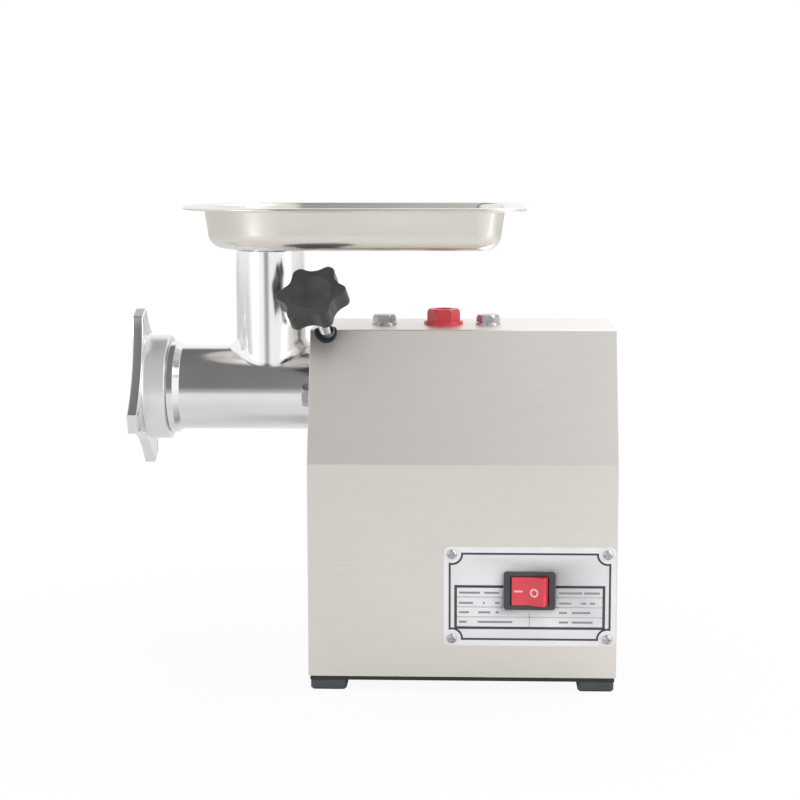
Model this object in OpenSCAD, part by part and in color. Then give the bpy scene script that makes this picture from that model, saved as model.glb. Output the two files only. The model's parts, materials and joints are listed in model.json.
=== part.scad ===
// Electric meat grinder: sheet-steel body, gearbox and motor, screw-fed head with a pan on top.
// Origin on the floor under the middle of the whole machine, +Z up, head toward -X, switch toward -Y.

/* [Body] */
// Length of the body along the screw
body_len = 281; // [270:1:320]
// Width of the body at the floor
body_w = 210.5; // [200:0.5:240]
// Width of the flat top
body_top_w = 116; // [100:1:130]
// Height where the sides start to slope
crease_z = 210; // [190:1:225]
// Height of the flat top
body_top_z = 327.5; // [324:0.5:350]
// Height of the skin's lower edge
body_low_z = 13.5; // [12:0.5:20]
// Thickness of the body's sheet steel
sheet = 1.2; // [0.8:0.1:2]
// Height of the base tray's underside
base_z = 9.5; // [8:0.5:11.5]
// Width of a rubber foot
foot_w = 33; // [24:1:40]
// Distance from the body's side to a foot
foot_inset = 1.8; // [1:0.1:6]

/* [Head] */
// Height of the screw's axis
axis_z = 267; // [264:0.5:270]
// Outer diameter of the barrel
barrel_d = 80; // [76:0.5:82]
// Bore of the barrel
barrel_bore = 64; // [60:0.5:66]
// Distance from the body to the front of the locking ring
head_reach = 168.7; // [165:0.5:190]
// Diameter of the shank that enters the gearbox
shank_d = 60; // [54:0.5:62]
// Length of the shank
shank_len = 55; // [45:1:58]
// Clearance between shank and socket, on the radius
shank_gap = 0.15; // [0.1:0.05:0.3]
// Outer diameter of the feed tube
tube_d = 65; // [60:0.5:68]
// Bore of the feed tube
tube_bore = 55; // [48:0.5:56]
// Distance from the body to the feed tube's axis
tube_off = 42.3; // [40:0.5:55]
// Height of the feed tube's mouth
tube_top_z = 398; // [390:1:410]

/* [Cutting parts] */
// Diameter of the perforated plate
plate_d = 70; // [66:0.5:72]
// Thickness of the perforated plate
plate_t = 8; // [6:0.5:10]
// Diameter of one hole in the plate
hole_d = 6; // [4:0.5:8]
// Number of arms on the knife
knife_arms = 4; // [3:1:4]
// Outer diameter of the screw's flight
worm_d = 62; // [58:0.5:62]
// Pitch of the screw's flight
worm_pitch = 34; // [28:1:40]

/* [Locking ring] */
// Outer diameter of the ring's barrel
ring_d = 98.5; // [96:0.5:104]
// Length of the ring
ring_len = 30.7; // [28:0.1:34]
// Thickness of the lobed flange
flange_t = 10; // [8:0.5:12]
// Radius to the end of a lobe
lobe_r = 77.7; // [70:0.1:85]
// Width of a lobe's end
lobe_w = 19.5; // [16:0.5:24]
// Angle of the first lobe from the vertical
lobe_angle = 19.7; // [0:0.1:45]
// Outer diameter of the head's threaded spigot
spigot_d = 84; // [82:0.5:88]

/* [Meat pan] */
// Length of the pan over its rim
pan_len = 321; // [300:1:350]
// Width of the pan over its rim
pan_w = 220; // [200:1:240]
// Height of the rim's top
rim_z = 439.4; // [435:0.1:445]
// Depth of the pan
pan_depth = 39; // [34:0.5:42]
// Width of the flat rim
rim_w = 20; // [14:1:24]
// Thickness of the pan's sheet
pan_t = 1.2; // [0.8:0.1:1.6]
// Plan radius of the pan's corners
pan_corner = 38; // [30:1:45]
// Radius of the tray's round end, over the feed tube
pan_nose = 104; // [90:1:107]
// Radius between the pan's walls and floor
pan_fillet = 15; // [10:1:18]
// Distance from the pan's middle to its feed hole
pan_off = 79.9; // [60:0.1:85]

/* [Clamp screw] */
// Diameter of the star knob
knob_d = 65; // [56:1:68]
// Thickness of the star knob
knob_t = 17; // [14:0.5:20]
// Number of lobes on the star knob
knob_lobes = 6; // [5:1:8]
// Where the knob's lobes stand with the screw tight, in degrees
knob_rest = -5; // [-30:1:30]
// Distance from the barrel's axis to the knob's face
knob_reach = 141.5; // [134:0.5:148]
// Angle of the screw round the barrel from the vertical
stud_angle = 45; // [40:1:50]
// Lean of the screw toward the head
stud_lean = 10.5; // [0:0.5:12]
// Diameter of the clamp screw
stud_d = 10; // [8:0.5:12]
// Distance from the body's head side to the point on the axis the screw aims at
stud_aim = 32; // [26:0.5:34]

/* [Switch and plate] */
// Length of the rating plate
plate_len = 156; // [140:1:170]
// Height of the rating plate
plate_h = 91.5; // [80:0.5:100]
// Distance from the body's rear side to the plate
plate_rear = 1.2; // [1:0.1:10]
// Height of the plate's lower edge
plate_z = 43.4; // [30:0.1:60]
// Length of the switch bezel
bezel_len = 47; // [40:0.5:56]
// Height of the switch bezel
bezel_h = 35.5; // [30:0.5:44]
// Travel of the rocker
rocker_travel = 24; // [16:1:28]

/* [Gear train] */
// Teeth on the motor pinion
motor_teeth = 20; // [18:1:22]
// Teeth on the idler gear
idler_teeth = 55; // [50:1:56]
// Module of the first pair
fine_module = 1.5; // [1.4:0.1:1.5]
// Teeth on the idler pinion
pinion_teeth = 15; // [14:1:17]
// Teeth on the output gear
output_teeth = 45; // [40:1:46]
// Module of the second pair
coarse_module = 2; // [1.8:0.1:2]
// Backlash between two gears, on the pitch line
backlash = 0.3; // [0.2:0.05:0.4]

/* [Motor] */
// Outer diameter of the motor's steel core
core_d = 130; // [120:1:134]
// Air gap between rotor and stator
air_gap = 0.4; // [0.3:0.05:0.6]

/* [Hidden] */
$fn = 64;
cut = 1;                    // how far a cutting tool runs past a face
clear = 0.3;                // gap between pieces that move past each other
fit = 0.05;                 // running clearance of a shaft, on the radius
screw_play = 0.2;           // what a small screw's hole is wider by
bolt_play = 0.4;            // the same for a bolt
skin_play = 1;              // the same for a bolt through the body's skin
steel = "#b9b9bc";
cast = "#a9abae";
polished = "#c9cacd";
skin_colour = "#cfcbc6";
black = "#3a3a3c";
red = "#c8404c";
brass = "#b5954e";
copper = "#b06a3c";

// ---- places along the screw -------------------------------------------------
panel_screw_d = 3.5;
panel_screw_head = 2;
body_mid = (head_reach - panel_screw_head) / 2;
body_x0 = body_mid - body_len / 2;
body_x1 = body_mid + body_len / 2;
socket_proud = 1.5;
shoulder_x = body_x0 - socket_proud;
shank_x = shoulder_x + shank_len;
ring_x0 = body_x0 - head_reach;
ring_x1 = ring_x0 + ring_len;
tube_x = body_x0 - tube_off;
lip_t = 5.2;                                  // ring's front lip
plate_x0 = ring_x0 + lip_t;
plate_x1 = plate_x0 + plate_t;
spigot_x0 = plate_x0 + plate_t / 2;           // plate stands proud of the head by half
spigot_x1 = ring_x1 + 0.5;
knife_t = 9;
knife_gap = 0.2;
knife_x0 = plate_x1 + knife_gap;
knife_x1 = knife_x0 + knife_t;
barrel_floor_t = 8;                           // metal behind the barrel's bore
barrel_floor_x = shoulder_x - barrel_floor_t;

// ---- places of the shafts ---------------------------------------------------
// Ball bearings: bore, outer diameter, width
front_bearing = [30, 62, 16];
rear_bearing = [25, 52, 15];
idler_bearing = [17, 40, 12];
motor_bearing = [20, 47, 14];
end_bearing = [17, 40, 12];
coarse_centres = coarse_module * (pinion_teeth + output_teeth) / 2;
fine_centres = fine_module * (motor_teeth + idler_teeth) / 2;
idler_z = axis_z - coarse_centres;
motor_z = idler_z - fine_centres;
shaft_gap = 6;                                // from the head's shank to the output shaft
shaft_x0 = shank_x + shaft_gap;
seal_t = 7;
seal_d = 47;
seal_shoulder_d = 44;
case_x0 = body_x0 + sheet;
seal_x = shaft_x0 + 3;
front_bearing_x = seal_x + seal_t + 1;
chamber_x0 = front_bearing_x + front_bearing[2];
gear_space = 4;                               // beside each gear
coarse_x0 = chamber_x0 + gear_space;
coarse_w = 20;
fine_x0 = coarse_x0 + coarse_w + gear_space;
fine_w = 14;
chamber_spare = 10;                           // between the last gear and the cover
cover_x0 = fine_x0 + fine_w + chamber_spare;
cover_t = 14;
cover_x1 = cover_x0 + cover_t;
core_back = 20;                               // from the gearbox cover to the motor's core
core_x0 = cover_x1 + core_back;
bell_len = 27;
fan_w = 11;
fan_gap = 3;                                  // between the motor's end and the fan
fan_room = 12.3;                              // between the fan and the rear panel
fan_x0 = body_x1 - sheet - fan_room - fan_w;
bell_x1 = fan_x0 - fan_gap;
core_x1 = bell_x1 - bell_len;
core_len = core_x1 - core_x0;
gasket_t = 0.6;

// ---- the skin's cross-section -------------------------------------------------
half_w = body_w / 2;
half_top = body_top_w / 2;
slope_run = half_w - half_top;
slope_rise = body_top_z - crease_z;
slope_len = sqrt(slope_run * slope_run + slope_rise * slope_rise);
out_y = slope_rise / slope_len;
out_z = slope_run / slope_len;
slope_angle = atan2(slope_rise, slope_run);

// Corners of the skin's outline, moved inward by a distance
function skin_crease_z(inset) = crease_z - inset * (1 - out_y) / out_z;
function skin_top_y(inset) = half_w + (-inset - out_z * (body_top_z - inset - crease_z)) / out_y;
function skin_right(inset, low_z) = [
    [half_w - inset, low_z],
    [half_w - inset, skin_crease_z(inset)],
    [skin_top_y(inset), body_top_z - inset]];
function mirrored(points) = [for (i = [len(points) - 1 : -1 : 0]) [-points[i][0], points[i][1]]];
function skin_outline(inset, low_z) =
    concat(skin_right(inset, low_z), mirrored(skin_right(inset, low_z)));

// Stands a drawing made in Y and Z across the X axis
module along_x(x, length) {
    translate([x, 0, 0]) rotate([90, 0, 90]) linear_extrude(height = length) children();
}

// Round bar along X, centred on y and z
module bar_x(x, length, d, y = 0, z = 0) {
    translate([x, y, z]) rotate([0, 90, 0]) cylinder(h = length, d = d);
}

// Turned piece along X from a profile of [distance along, radius] points
module turned_x(x, z, points) {
    translate([x, 0, z]) rotate([0, 90, 0])
        rotate_extrude() polygon([for (p = points) [p[1], p[0]]]);
}

// Rectangle with round corners
module round_rect(length, width, radius) {
    square([length - 2 * radius, width], center = true);
    square([length, width - 2 * radius], center = true);
    for (sx = [-1, 1], sy = [-1, 1])
        translate([sx * (length / 2 - radius), sy * (width / 2 - radius)]) circle(radius);
}

// Slot with round ends, along the first axis
module slot(length, width) {
    square([length - width, width], center = true);
    for (s = [-1, 1])
        translate([s * (length - width) / 2, 0]) circle(d = width);
}

module hex_prism(across_flats, height) {
    cylinder(h = height, d = across_flats / cos(30), $fn = 6);
}

// Hexagon bolt: shank below the origin, head above it
module hex_bolt(d, across_flats, head_h, shank) {
    washer_face = 0.6;
    translate([0, 0, -shank]) cylinder(h = shank + washer_face, d = d);
    cylinder(h = washer_face, d = across_flats - 0.5);
    translate([0, 0, washer_face]) intersection() {
        hex_prism(across_flats, head_h - washer_face);
        cylinder(h = head_h - washer_face, d1 = across_flats * 1.4, d2 = across_flats * 1.02);
    }
}

// Pan-head screw with a cross recess: shank below the origin
module pan_screw(d, head_d, head_h, shank) {
    difference() {
        union() {
            translate([0, 0, -shank]) cylinder(h = shank + head_h / 2, d = d);
            cylinder(h = head_h * 0.55, d = head_d);
            translate([0, 0, head_h * 0.55]) cylinder(h = head_h * 0.45, d1 = head_d, d2 = head_d * 0.7);
        }
        for (turn = [0, 90]) rotate(turn)
            translate([-head_d * 0.28, -head_d * 0.07, head_h * 0.5])
                cube([head_d * 0.56, head_d * 0.14, head_h]);
    }
}

// ---- body -----------------------------------------------------------------------
top_bolt_d = 12;
bolt_flats = 19;
bolt_head = 7.5;
washer_t = 1.5;
washer_d = 24;
top_bolt_back = [65.7, 163.8];                // from the body's head end
plug_back = 121.8;
top_bolt_x = [for (back = top_bolt_back) body_x0 + back];
plug_x = body_x0 + plug_back;
plug_thread = 20;
plug_flange_d = 37;
front_bolt_y = 60;
socket_d = shank_d + 2 * shank_gap;
boss_d = 83;
stud_bush_wall = 1.5;
stud_bush_d = stud_d + 2 * stud_bush_wall;
grommet_wall = 1.6;
grommet_hole_d = stud_bush_d + 2 * grommet_wall;
foot_x = body_len / 2 - foot_inset - foot_w / 2;
foot_y = body_w / 2 - foot_inset - foot_w / 2;
tray_gap = 0.3;
tray_wall = 1.5;
tray_lift = 12;
screw_z = body_low_z + 6;
switch_x = body_x1 - 79.3;
switch_z = plate_z + 51.6;
switch_hole_len = bezel_len - 6;
switch_hole_h = bezel_h - 6;
gland_x = body_x1 - 50;
gland_z = 45;
gland_d = 16;

module at_feet() {
    for (sx = [-1, 1], sy = [-1, 1])
        translate([body_mid + sx * foot_x, sy * foot_y, 0]) children();
}

module at_stud() {
    translate([body_x0 + stud_aim, 0, axis_z]) rotate([stud_angle, 0, 0])
        rotate([0, -stud_lean, 0]) children();
}

panel_screw_y = half_w - 45;
module at_panel_screws() {
    for (end = [-1, 1], s = [-1, 1])
        translate([body_mid + end * body_len / 2, s * panel_screw_y, screw_z])
            rotate([0, end * 90, 0]) children();
}

module housing_shell() {
    color(skin_colour) difference() {
        along_x(body_x0 + sheet, body_len - 2 * sheet) difference() {
            polygon(skin_outline(0, body_low_z));
            polygon(concat([[-half_w + sheet, body_low_z - cut], [half_w - sheet, body_low_z - cut]],
                           skin_outline(sheet, body_low_z)));
        }
        for (x = top_bolt_x)
            translate([x, 0, body_top_z - 2 * sheet]) cylinder(h = 3 * sheet, d = top_bolt_d + skin_play);
        translate([plug_x, 0, body_top_z - 2 * sheet]) cylinder(h = 3 * sheet, d = plug_thread + skin_play);
        at_stud() translate([0, 0, shank_d / 2]) cylinder(h = knob_reach, d = grommet_hole_d);
        translate([switch_x, -half_w - cut, switch_z]) rotate([-90, 0, 0])
            linear_extrude(height = sheet + 2 * cut) square([switch_hole_len, switch_hole_h], center = true);
        translate([gland_x, half_w + cut, gland_z]) rotate([90, 0, 0])
            cylinder(h = sheet + 2 * cut, d = gland_d);
        at_plate_screws() translate([0, 0, -2 * sheet])
            cylinder(h = 3 * sheet, d = plate_screw_d + screw_play, $fn = 24);
    }
}

module panel_screw_hole() {
    translate([0, 0, -8]) cylinder(h = 10, d = panel_screw_d + screw_play, $fn = 24);
}

module front_panel() {
    color(skin_colour) difference() {
        along_x(body_x0, sheet) polygon(skin_outline(0, body_low_z));
        bar_x(body_x0 - cut, sheet + 2 * cut, boss_d + 0.6, 0, axis_z);
        at_panel_screws() panel_screw_hole();
        for (s = [-1, 1])
            bar_x(body_x0 - cut, sheet + 2 * cut, top_bolt_d + skin_play, s * front_bolt_y, axis_z);
    }
}

vent_rows = 7;
vent_pitch = 12;
vent_len = 62;
vent_w = 4;

module rear_panel() {
    color(skin_colour) difference() {
        along_x(body_x1 - sheet, sheet) polygon(skin_outline(0, body_low_z));
        at_panel_screws() panel_screw_hole();
        for (row = [0 : vent_rows - 1], s = [-1, 1])
            translate([0, s * (vent_len / 2 + 6), motor_z + (row - (vent_rows - 1) / 2) * vent_pitch])
                along_x(body_x1 - sheet - cut, sheet + 2 * cut) slot(vent_len, vent_w);
    }
}

base_len = body_len - 2 * sheet - 2 * tray_gap;
base_w = body_w - 2 * sheet - 2 * tray_gap;
floor_slot_pitch = 16;
floor_slot_len = 70;
floor_slot_w = 5;

module base_plate() {
    color(black) difference() {
        translate([body_mid - base_len / 2, -base_w / 2, base_z])
            cube([base_len, base_w, body_low_z + tray_lift - base_z]);
        translate([body_mid - base_len / 2 + tray_wall, -base_w / 2 + tray_wall, base_z + tray_wall])
            cube([base_len - 2 * tray_wall, base_w - 2 * tray_wall, body_low_z + tray_lift]);
        for (i = [-4 : 4])
            translate([body_mid + i * floor_slot_pitch, 0, base_z - cut]) rotate(90)
                linear_extrude(height = tray_wall + 2 * cut) slot(floor_slot_len, floor_slot_w);
        at_feet() translate([0, 0, base_z - cut])
            cylinder(h = tray_wall + 2 * cut, d = foot_screw_d + bolt_play);
        at_panel_screws() panel_screw_hole();
    }
}

foot_screw_d = 5;
foot_recess_d = 14;
foot_recess_h = base_z * 0.45;

module feet() {
    chamfer = 1.2;
    color("#4b4c50") at_feet() difference() {
            union() {
                linear_extrude(height = base_z) round_rect(foot_w - 2 * chamfer, foot_w - 2 * chamfer, 3);
                translate([0, 0, chamfer])
                    linear_extrude(height = base_z - chamfer) round_rect(foot_w, foot_w, 4);
            }
            translate([0, 0, -cut]) cylinder(h = base_z + 2 * cut, d = foot_screw_d);
            translate([0, 0, -cut]) cylinder(h = foot_recess_h + cut, d = foot_recess_d);
    }
}

module foot_screws() {
    nut_h = 4;
    color(steel) at_feet() {
            translate([0, 0, foot_recess_h]) rotate([180, 0, 0])
                pan_screw(foot_screw_d, 10, 2.6, base_z - foot_recess_h + tray_wall + nut_h);
            translate([0, 0, base_z + tray_wall]) hex_prism(8, nut_h);
    }
}

module panel_screws() {
    color(steel) at_panel_screws() pan_screw(panel_screw_d, 7, panel_screw_head, 7);
}

// ---- rating plate and switch ----------------------------------------------------
plate_sheet = 0.8;
plate_corner = 5;
plate_x = body_x1 - plate_rear - plate_len / 2;
plate_mid_z = plate_z + plate_h / 2;
plate_screw_d = 3.9;
plate_screw_x = plate_len / 2 - 7.5;
plate_screw_z = plate_h / 2 - 6.6;
bezel_t = 2.6;
rocker_len = bezel_len - 13;
rocker_h = bezel_h - 9.5;
rocker_proud = 1.4;
rocker_depth = 4;
rocker_pin_d = 3;
rocker_pin_reach = 1;
rocker_rest = rocker_travel / 2;
rocker_y = -half_w - plate_sheet - bezel_t;

module at_plate_screws() {
    for (sx = [-1, 1], sz = [-1, 1])
        translate([plate_x + sx * plate_screw_x, -half_w, plate_mid_z + sz * plate_screw_z])
            rotate([90, 0, 0]) children();
}

// Flat drawing in X and Z laid on the switch side, growing outward
module on_side(x, z, y, height) {
    translate([x, y, z]) rotate([90, 0, 0]) linear_extrude(height = height) children();
}

module rating_plate() {
    color("#ececee") difference() {
        on_side(plate_x, plate_mid_z, -half_w, plate_sheet) round_rect(plate_len, plate_h, plate_corner);
        on_side(switch_x, switch_z, -half_w + cut, plate_sheet + 2 * cut)
            square([switch_hole_len, switch_hole_h], center = true);
        at_plate_screws() translate([0, 0, -cut])
            cylinder(h = 2 * cut + plate_sheet, d = plate_screw_d + screw_play, $fn = 24);
    }
}

module plate_screws() {
    color(steel) at_plate_screws() translate([0, 0, plate_sheet]) pan_screw(plate_screw_d, 8.6, 2.4, 7);
}

// Case with a bezel, open at the front for the rocker
module switch_body() {
    case_depth = 22;
    wall = 1.6;
    color(black) difference() {
        union() {
            on_side(switch_x, switch_z, -half_w - plate_sheet, bezel_t) round_rect(bezel_len, bezel_h, 2.5);
            on_side(switch_x, switch_z, -half_w - plate_sheet + case_depth, case_depth)
                square([switch_hole_len - 0.4, switch_hole_h - 0.4], center = true);
            for (i = [-1 : 1])
                on_side(switch_x + i * 12, switch_z, -half_w - plate_sheet + case_depth + 8, 9)
                    square([0.8, 6.3], center = true);
        }
        on_side(switch_x, switch_z, -half_w - plate_sheet + case_depth - wall, case_depth + bezel_t)
            square([rocker_len + 2 * clear, rocker_h + 2 * clear], center = true);
        at_rocker_pivot()
            cylinder(h = rocker_h + 2 * (rocker_pin_reach + fit), d = rocker_pin_d + 2 * fit, center = true);
    }
}

// Two flats that meet in a shallow V on a round belly, turning on a short pin
module switch_rocker() {
    color(red) at_rocker_pivot() rotate([0, 0, -rocker_rest]) {
        linear_extrude(height = rocker_h, center = true) difference() {
            circle(r = rocker_len / 2 - 0.1, $fn = 96);
            translate([-rocker_len, 7]) square([2 * rocker_len, rocker_len]);
            for (s = [-1, 1])
                translate([0, -rocker_depth - rocker_proud]) rotate(-s * rocker_rest)
                    translate([s > 0 ? 0 : -rocker_len, -rocker_len]) square(rocker_len);
        }
        cylinder(h = rocker_h + 2 * rocker_pin_reach, d = rocker_pin_d, center = true);
    }
}

module at_rocker_pivot() {
    translate([switch_x, rocker_y + rocker_depth, switch_z]) children();
}

// ---- top fittings ------------------------------------------------------------------
module top_washers() {
    color(steel) for (x = top_bolt_x)
        translate([x, 0, body_top_z]) difference() {
            cylinder(h = washer_t, d = washer_d);
            translate([0, 0, -cut]) cylinder(h = washer_t + 2 * cut, d = top_bolt_d + bolt_play);
        }
}

module top_bolts() {
    color(steel) for (x = top_bolt_x)
        translate([x, 0, body_top_z + washer_t]) hex_bolt(top_bolt_d, bolt_flats, bolt_head, 18);
}

module front_bolts() {
    color(steel) for (s = [-1, 1])
        translate([body_x0, s * front_bolt_y, axis_z]) rotate([0, -90, 0])
            hex_bolt(top_bolt_d, bolt_flats, bolt_head, 16);
}

// Hexagon plug with a flange and a round recess in its top
module oil_plug() {
    flange_h = 3;
    hex_flats = 27;
    hex_h = 11.5;
    color(red) translate([plug_x, 0, body_top_z]) difference() {
        union() {
            translate([0, 0, -14]) cylinder(h = 15, d = plug_thread);
            cylinder(h = flange_h, d = plug_flange_d);
            translate([0, 0, flange_h - 0.5]) intersection() {
                hex_prism(hex_flats, hex_h + 0.5);
                cylinder(h = hex_h + 0.5, d1 = hex_flats * 1.5, d2 = hex_flats * 1.04);
            }
        }
        translate([0, 0, flange_h + hex_h - 5]) cylinder(h = 6, d = 16);
    }
}

// Rubber channel in the body's cut-out, round the screw's bush
module knob_grommet() {
    grommet_len = 7;
    edge_reach = sqrt(half_top * half_top + (body_top_z - axis_z) * (body_top_z - axis_z)) / cos(stud_lean);
    color("#1e1e20") at_stud() translate([0, 0, edge_reach - grommet_len / 2 - 1]) difference() {
        cylinder(h = grommet_len, d = grommet_hole_d - 0.2);
        translate([0, 0, -cut]) cylinder(h = grommet_len + 2 * cut, d = stud_bush_d + 0.2);
    }
}

// ---- gearbox --------------------------------------------------------------------------
case_wall = 4.5;
case_gap = 1;                                 // between the gearbox and the skin
case_front_t = 11;                            // pad behind the front panel
case_flange_t = 7;                            // lip that the cover screws onto
front_boss_d = 24;
top_boss_d = 28;
thread_depth = 17;                            // top bolts' tapped holes
gear_low_z = body_low_z + 20;
gear_gap = 2.5;
big_r = output_teeth * coarse_module / 2 + coarse_module + gear_gap;
mid_r = idler_teeth * fine_module / 2 + fine_module + gear_gap;
low_r = motor_teeth * fine_module / 2 + fine_module + gear_gap;
flange_r = case_wall + 8;

// Outline of the gear chamber, grown by a distance
module chamber_outline(grow) {
    translate([0, axis_z]) circle(big_r + grow);
    translate([0, idler_z]) circle(mid_r + grow);
    translate([0, motor_z]) circle(low_r + grow);
    translate([-mid_r - grow, idler_z]) square([2 * (mid_r + grow), axis_z - idler_z]);
    polygon([[-mid_r - grow, idler_z], [mid_r + grow, idler_z],
             [low_r + grow, motor_z], [-low_r - grow, motor_z]]);
}

cover_screw_d = 6;
module at_cover_screws() {
    top_r = big_r + flange_r / 2 + 1;
    for (a = [25, 155])
        translate([0, top_r * cos(a), axis_z + top_r * sin(a)]) children();
    for (s = [-1, 1], z = [idler_z + 22, idler_z + 3])
        translate([0, s * (mid_r + flange_r / 2 + 1), z]) children();
    for (s = [-1, 1])
        translate([0, s * (low_r + flange_r / 2 + 8), motor_z + 6]) children();
}

cover_foot_w = 2 * (low_r + flange_r + 6);

module cover_outline() {
    intersection() {
        union() {
            chamber_outline(flange_r);
            translate([-cover_foot_w / 2, motor_z - 4]) square([cover_foot_w, 24]);
        }
        polygon(skin_outline(sheet + case_gap, gear_low_z));
    }
}

module gearbox_case() {
    seat_z = body_top_z - sheet;
    color(cast) difference() {
        union() {
            bar_x(shoulder_x, chamber_x0 - shoulder_x, boss_d, 0, axis_z);
            intersection() {
                along_x(chamber_x0 - 8, cover_x0 - gasket_t - chamber_x0 + 8) chamber_outline(case_wall);
                along_x(chamber_x0 - 8, cover_x0 - chamber_x0 + 8)
                    polygon(skin_outline(sheet + case_gap, gear_low_z));
            }
            along_x(cover_x0 - gasket_t - case_flange_t, case_flange_t) cover_outline();
            bar_x(chamber_x0 - idler_bearing[2] - 2, 14, idler_bearing[1] + 10, 0, idler_z);
            along_x(case_x0, case_front_t) difference() {
                translate([-front_bolt_y - 13, axis_z - 16]) square([2 * (front_bolt_y + 13), 32]);
                translate([-front_bolt_y - 14, axis_z + 15.9]) square([1, 1]);
            }
            for (s = [-1, 1])
                bar_x(case_x0, front_boss_d, front_boss_d, s * front_bolt_y, axis_z);
            translate([top_bolt_x[0], 0, axis_z]) cylinder(h = seat_z - axis_z, d = top_boss_d);
            intersection() {
                translate([plug_x, 0, axis_z + big_r - 6]) cylinder(h = seat_z - axis_z - big_r + 6, d = 38);
                translate([chamber_x0, -20, axis_z])
                    cube([cover_x0 - gasket_t - chamber_x0, 40, seat_z - axis_z]);
            }
            at_stud() cylinder(h = stud_bush_top, d = stud_bush_d);
            for (s = [-1, 1])
                along_x(case_x0 + case_front_t, chamber_x0 - case_x0 - case_front_t - 4)
                    translate([s * (boss_d / 2 - 2), axis_z - 3.5]) square([18, 7], center = true);
        }
        bar_x(shoulder_x - cut, shank_len + 4 + cut, socket_d, 0, axis_z);
        bar_x(shank_x, seal_x - shank_x + cut, seal_shoulder_d, 0, axis_z);
        bar_x(seal_x, seal_t, seal_d, 0, axis_z);
        bar_x(seal_x + seal_t - cut, 2 * cut + 0.5, seal_shoulder_d, 0, axis_z);
        bar_x(front_bearing_x, chamber_x0 - front_bearing_x + cut, front_bearing[1], 0, axis_z);
        bar_x(chamber_x0 - idler_bearing[2], idler_bearing[2] + cut, idler_bearing[1], 0, idler_z);
        along_x(chamber_x0, cover_x0 - chamber_x0 + cut) intersection() {
            chamber_outline(0);
            polygon(skin_outline(sheet + case_gap + case_wall, gear_low_z));
        }
        for (s = [-1, 1])
            bar_x(case_x0 - cut, 18 + cut, top_bolt_d, s * front_bolt_y, axis_z);
        translate([top_bolt_x[0], 0, seat_z - thread_depth]) cylinder(h = thread_depth + cut, d = top_bolt_d);
        translate([plug_x, 0, axis_z]) cylinder(h = seat_z, d = plug_thread);
        at_stud() cylinder(h = stud_bush_top + cut, d = stud_d + 2 * fit);
        at_cover_screws() bar_x(cover_x0 - gasket_t - 8, 9, cover_screw_d + 2 * fit);
    }
}

stud_bush_top = (body_top_z - axis_z) / cos(stud_angle) / cos(stud_lean) - 1.5;

module gearbox_gasket() {
    color("#5a4a3a") difference() {
        along_x(cover_x0 - gasket_t, gasket_t) difference() {
            cover_outline();
            intersection() {
                chamber_outline(0);
                polygon(skin_outline(sheet + case_gap + case_wall, gear_low_z));
            }
        }
        at_cover_screws() bar_x(cover_x0 - gasket_t - cut, gasket_t + 2 * cut, cover_screw_d + bolt_play);
    }
}

module gearbox_cover() {
    seat_z = body_top_z - sheet;
    arm_x1 = top_bolt_x[1] + 13;
    arm_h = 30;
    color(cast) difference() {
        union() {
            along_x(cover_x0, cover_t) cover_outline();
            translate([cover_x0, -top_boss_d / 2, seat_z - arm_h])
                cube([arm_x1 - cover_x0, top_boss_d, arm_h]);
            bar_x(cover_x0, core_x0 - cover_x0, core_d + 2 * motor_wall, 0, motor_z);
        }
        bar_x(cover_x0 - cut, rear_bearing[2] - 3 + cut, rear_bearing[1], 0, axis_z);
        bar_x(cover_x0 - cut, idler_bearing[2] - 1 + cut, idler_bearing[1], 0, idler_z);
        bar_x(cover_x0 - cut, cover_t + 2 * cut, 27, 0, motor_z);
        bar_x(cover_x0 + 2, cover_t, motor_bearing[1], 0, motor_z);
        bar_x(cover_x1, core_x0 - cover_x1, core_d - 8, 0, motor_z);
        bar_x(core_x0 - core_over, core_over + cut, core_d, 0, motor_z);
        translate([top_bolt_x[1], 0, seat_z - thread_depth]) cylinder(h = thread_depth + cut, d = top_bolt_d);
        at_cover_screws() bar_x(cover_x0 - cut, cover_t + 2 * cut, cover_screw_d + bolt_play);
        at_motor_bolts() bar_x(cover_x1 - 2, 30, motor_bolt_d);
    }
}

module cover_screws() {
    color(steel) at_cover_screws() translate([cover_x1, 0, 0]) rotate([0, 90, 0])
        hex_bolt(cover_screw_d, 10, 4.5, cover_t + gasket_t + cover_screw_d);
}

// ---- gears --------------------------------------------------------------------------
pressure = 20;
function involute_turn(a) = (tan(a) - a * PI / 180) * 180 / PI;
function flank_turn(teeth, pitch_r, base_r, r) =
    90 / teeth - backlash / 4 / pitch_r * 180 / PI + involute_turn(pressure)
    - (r > base_r ? involute_turn(acos(base_r / r)) : 0);

// One tooth's corners, from root to tip and back, centred on the upright
function tooth(teeth, mod, turn) =
    let (pitch_r = teeth * mod / 2,
         base_r = pitch_r * cos(pressure),
         tip_r = pitch_r + 0.95 * mod,
         root_r = pitch_r - 1.3 * mod,
         start_r = max(base_r, root_r + 0.1),
         steps = [root_r, start_r, start_r + (tip_r - start_r) * 0.35,
                  start_r + (tip_r - start_r) * 0.7, tip_r])
    concat(
        [for (r = steps) let (a = 90 + turn + flank_turn(teeth, pitch_r, base_r, r)) r * [cos(a), sin(a)]],
        [for (i = [len(steps) - 1 : -1 : 0])
            let (r = steps[i], a = 90 + turn - flank_turn(teeth, pitch_r, base_r, r)) r * [cos(a), sin(a)]]);

module gear_outline(teeth, mod, turn) {
    polygon([for (i = [0 : teeth - 1]) each tooth(teeth, mod, turn - i * 360 / teeth)]);
}
upper_turn = 180;           // a gear whose mesh lies below it has a gap straight down

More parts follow.
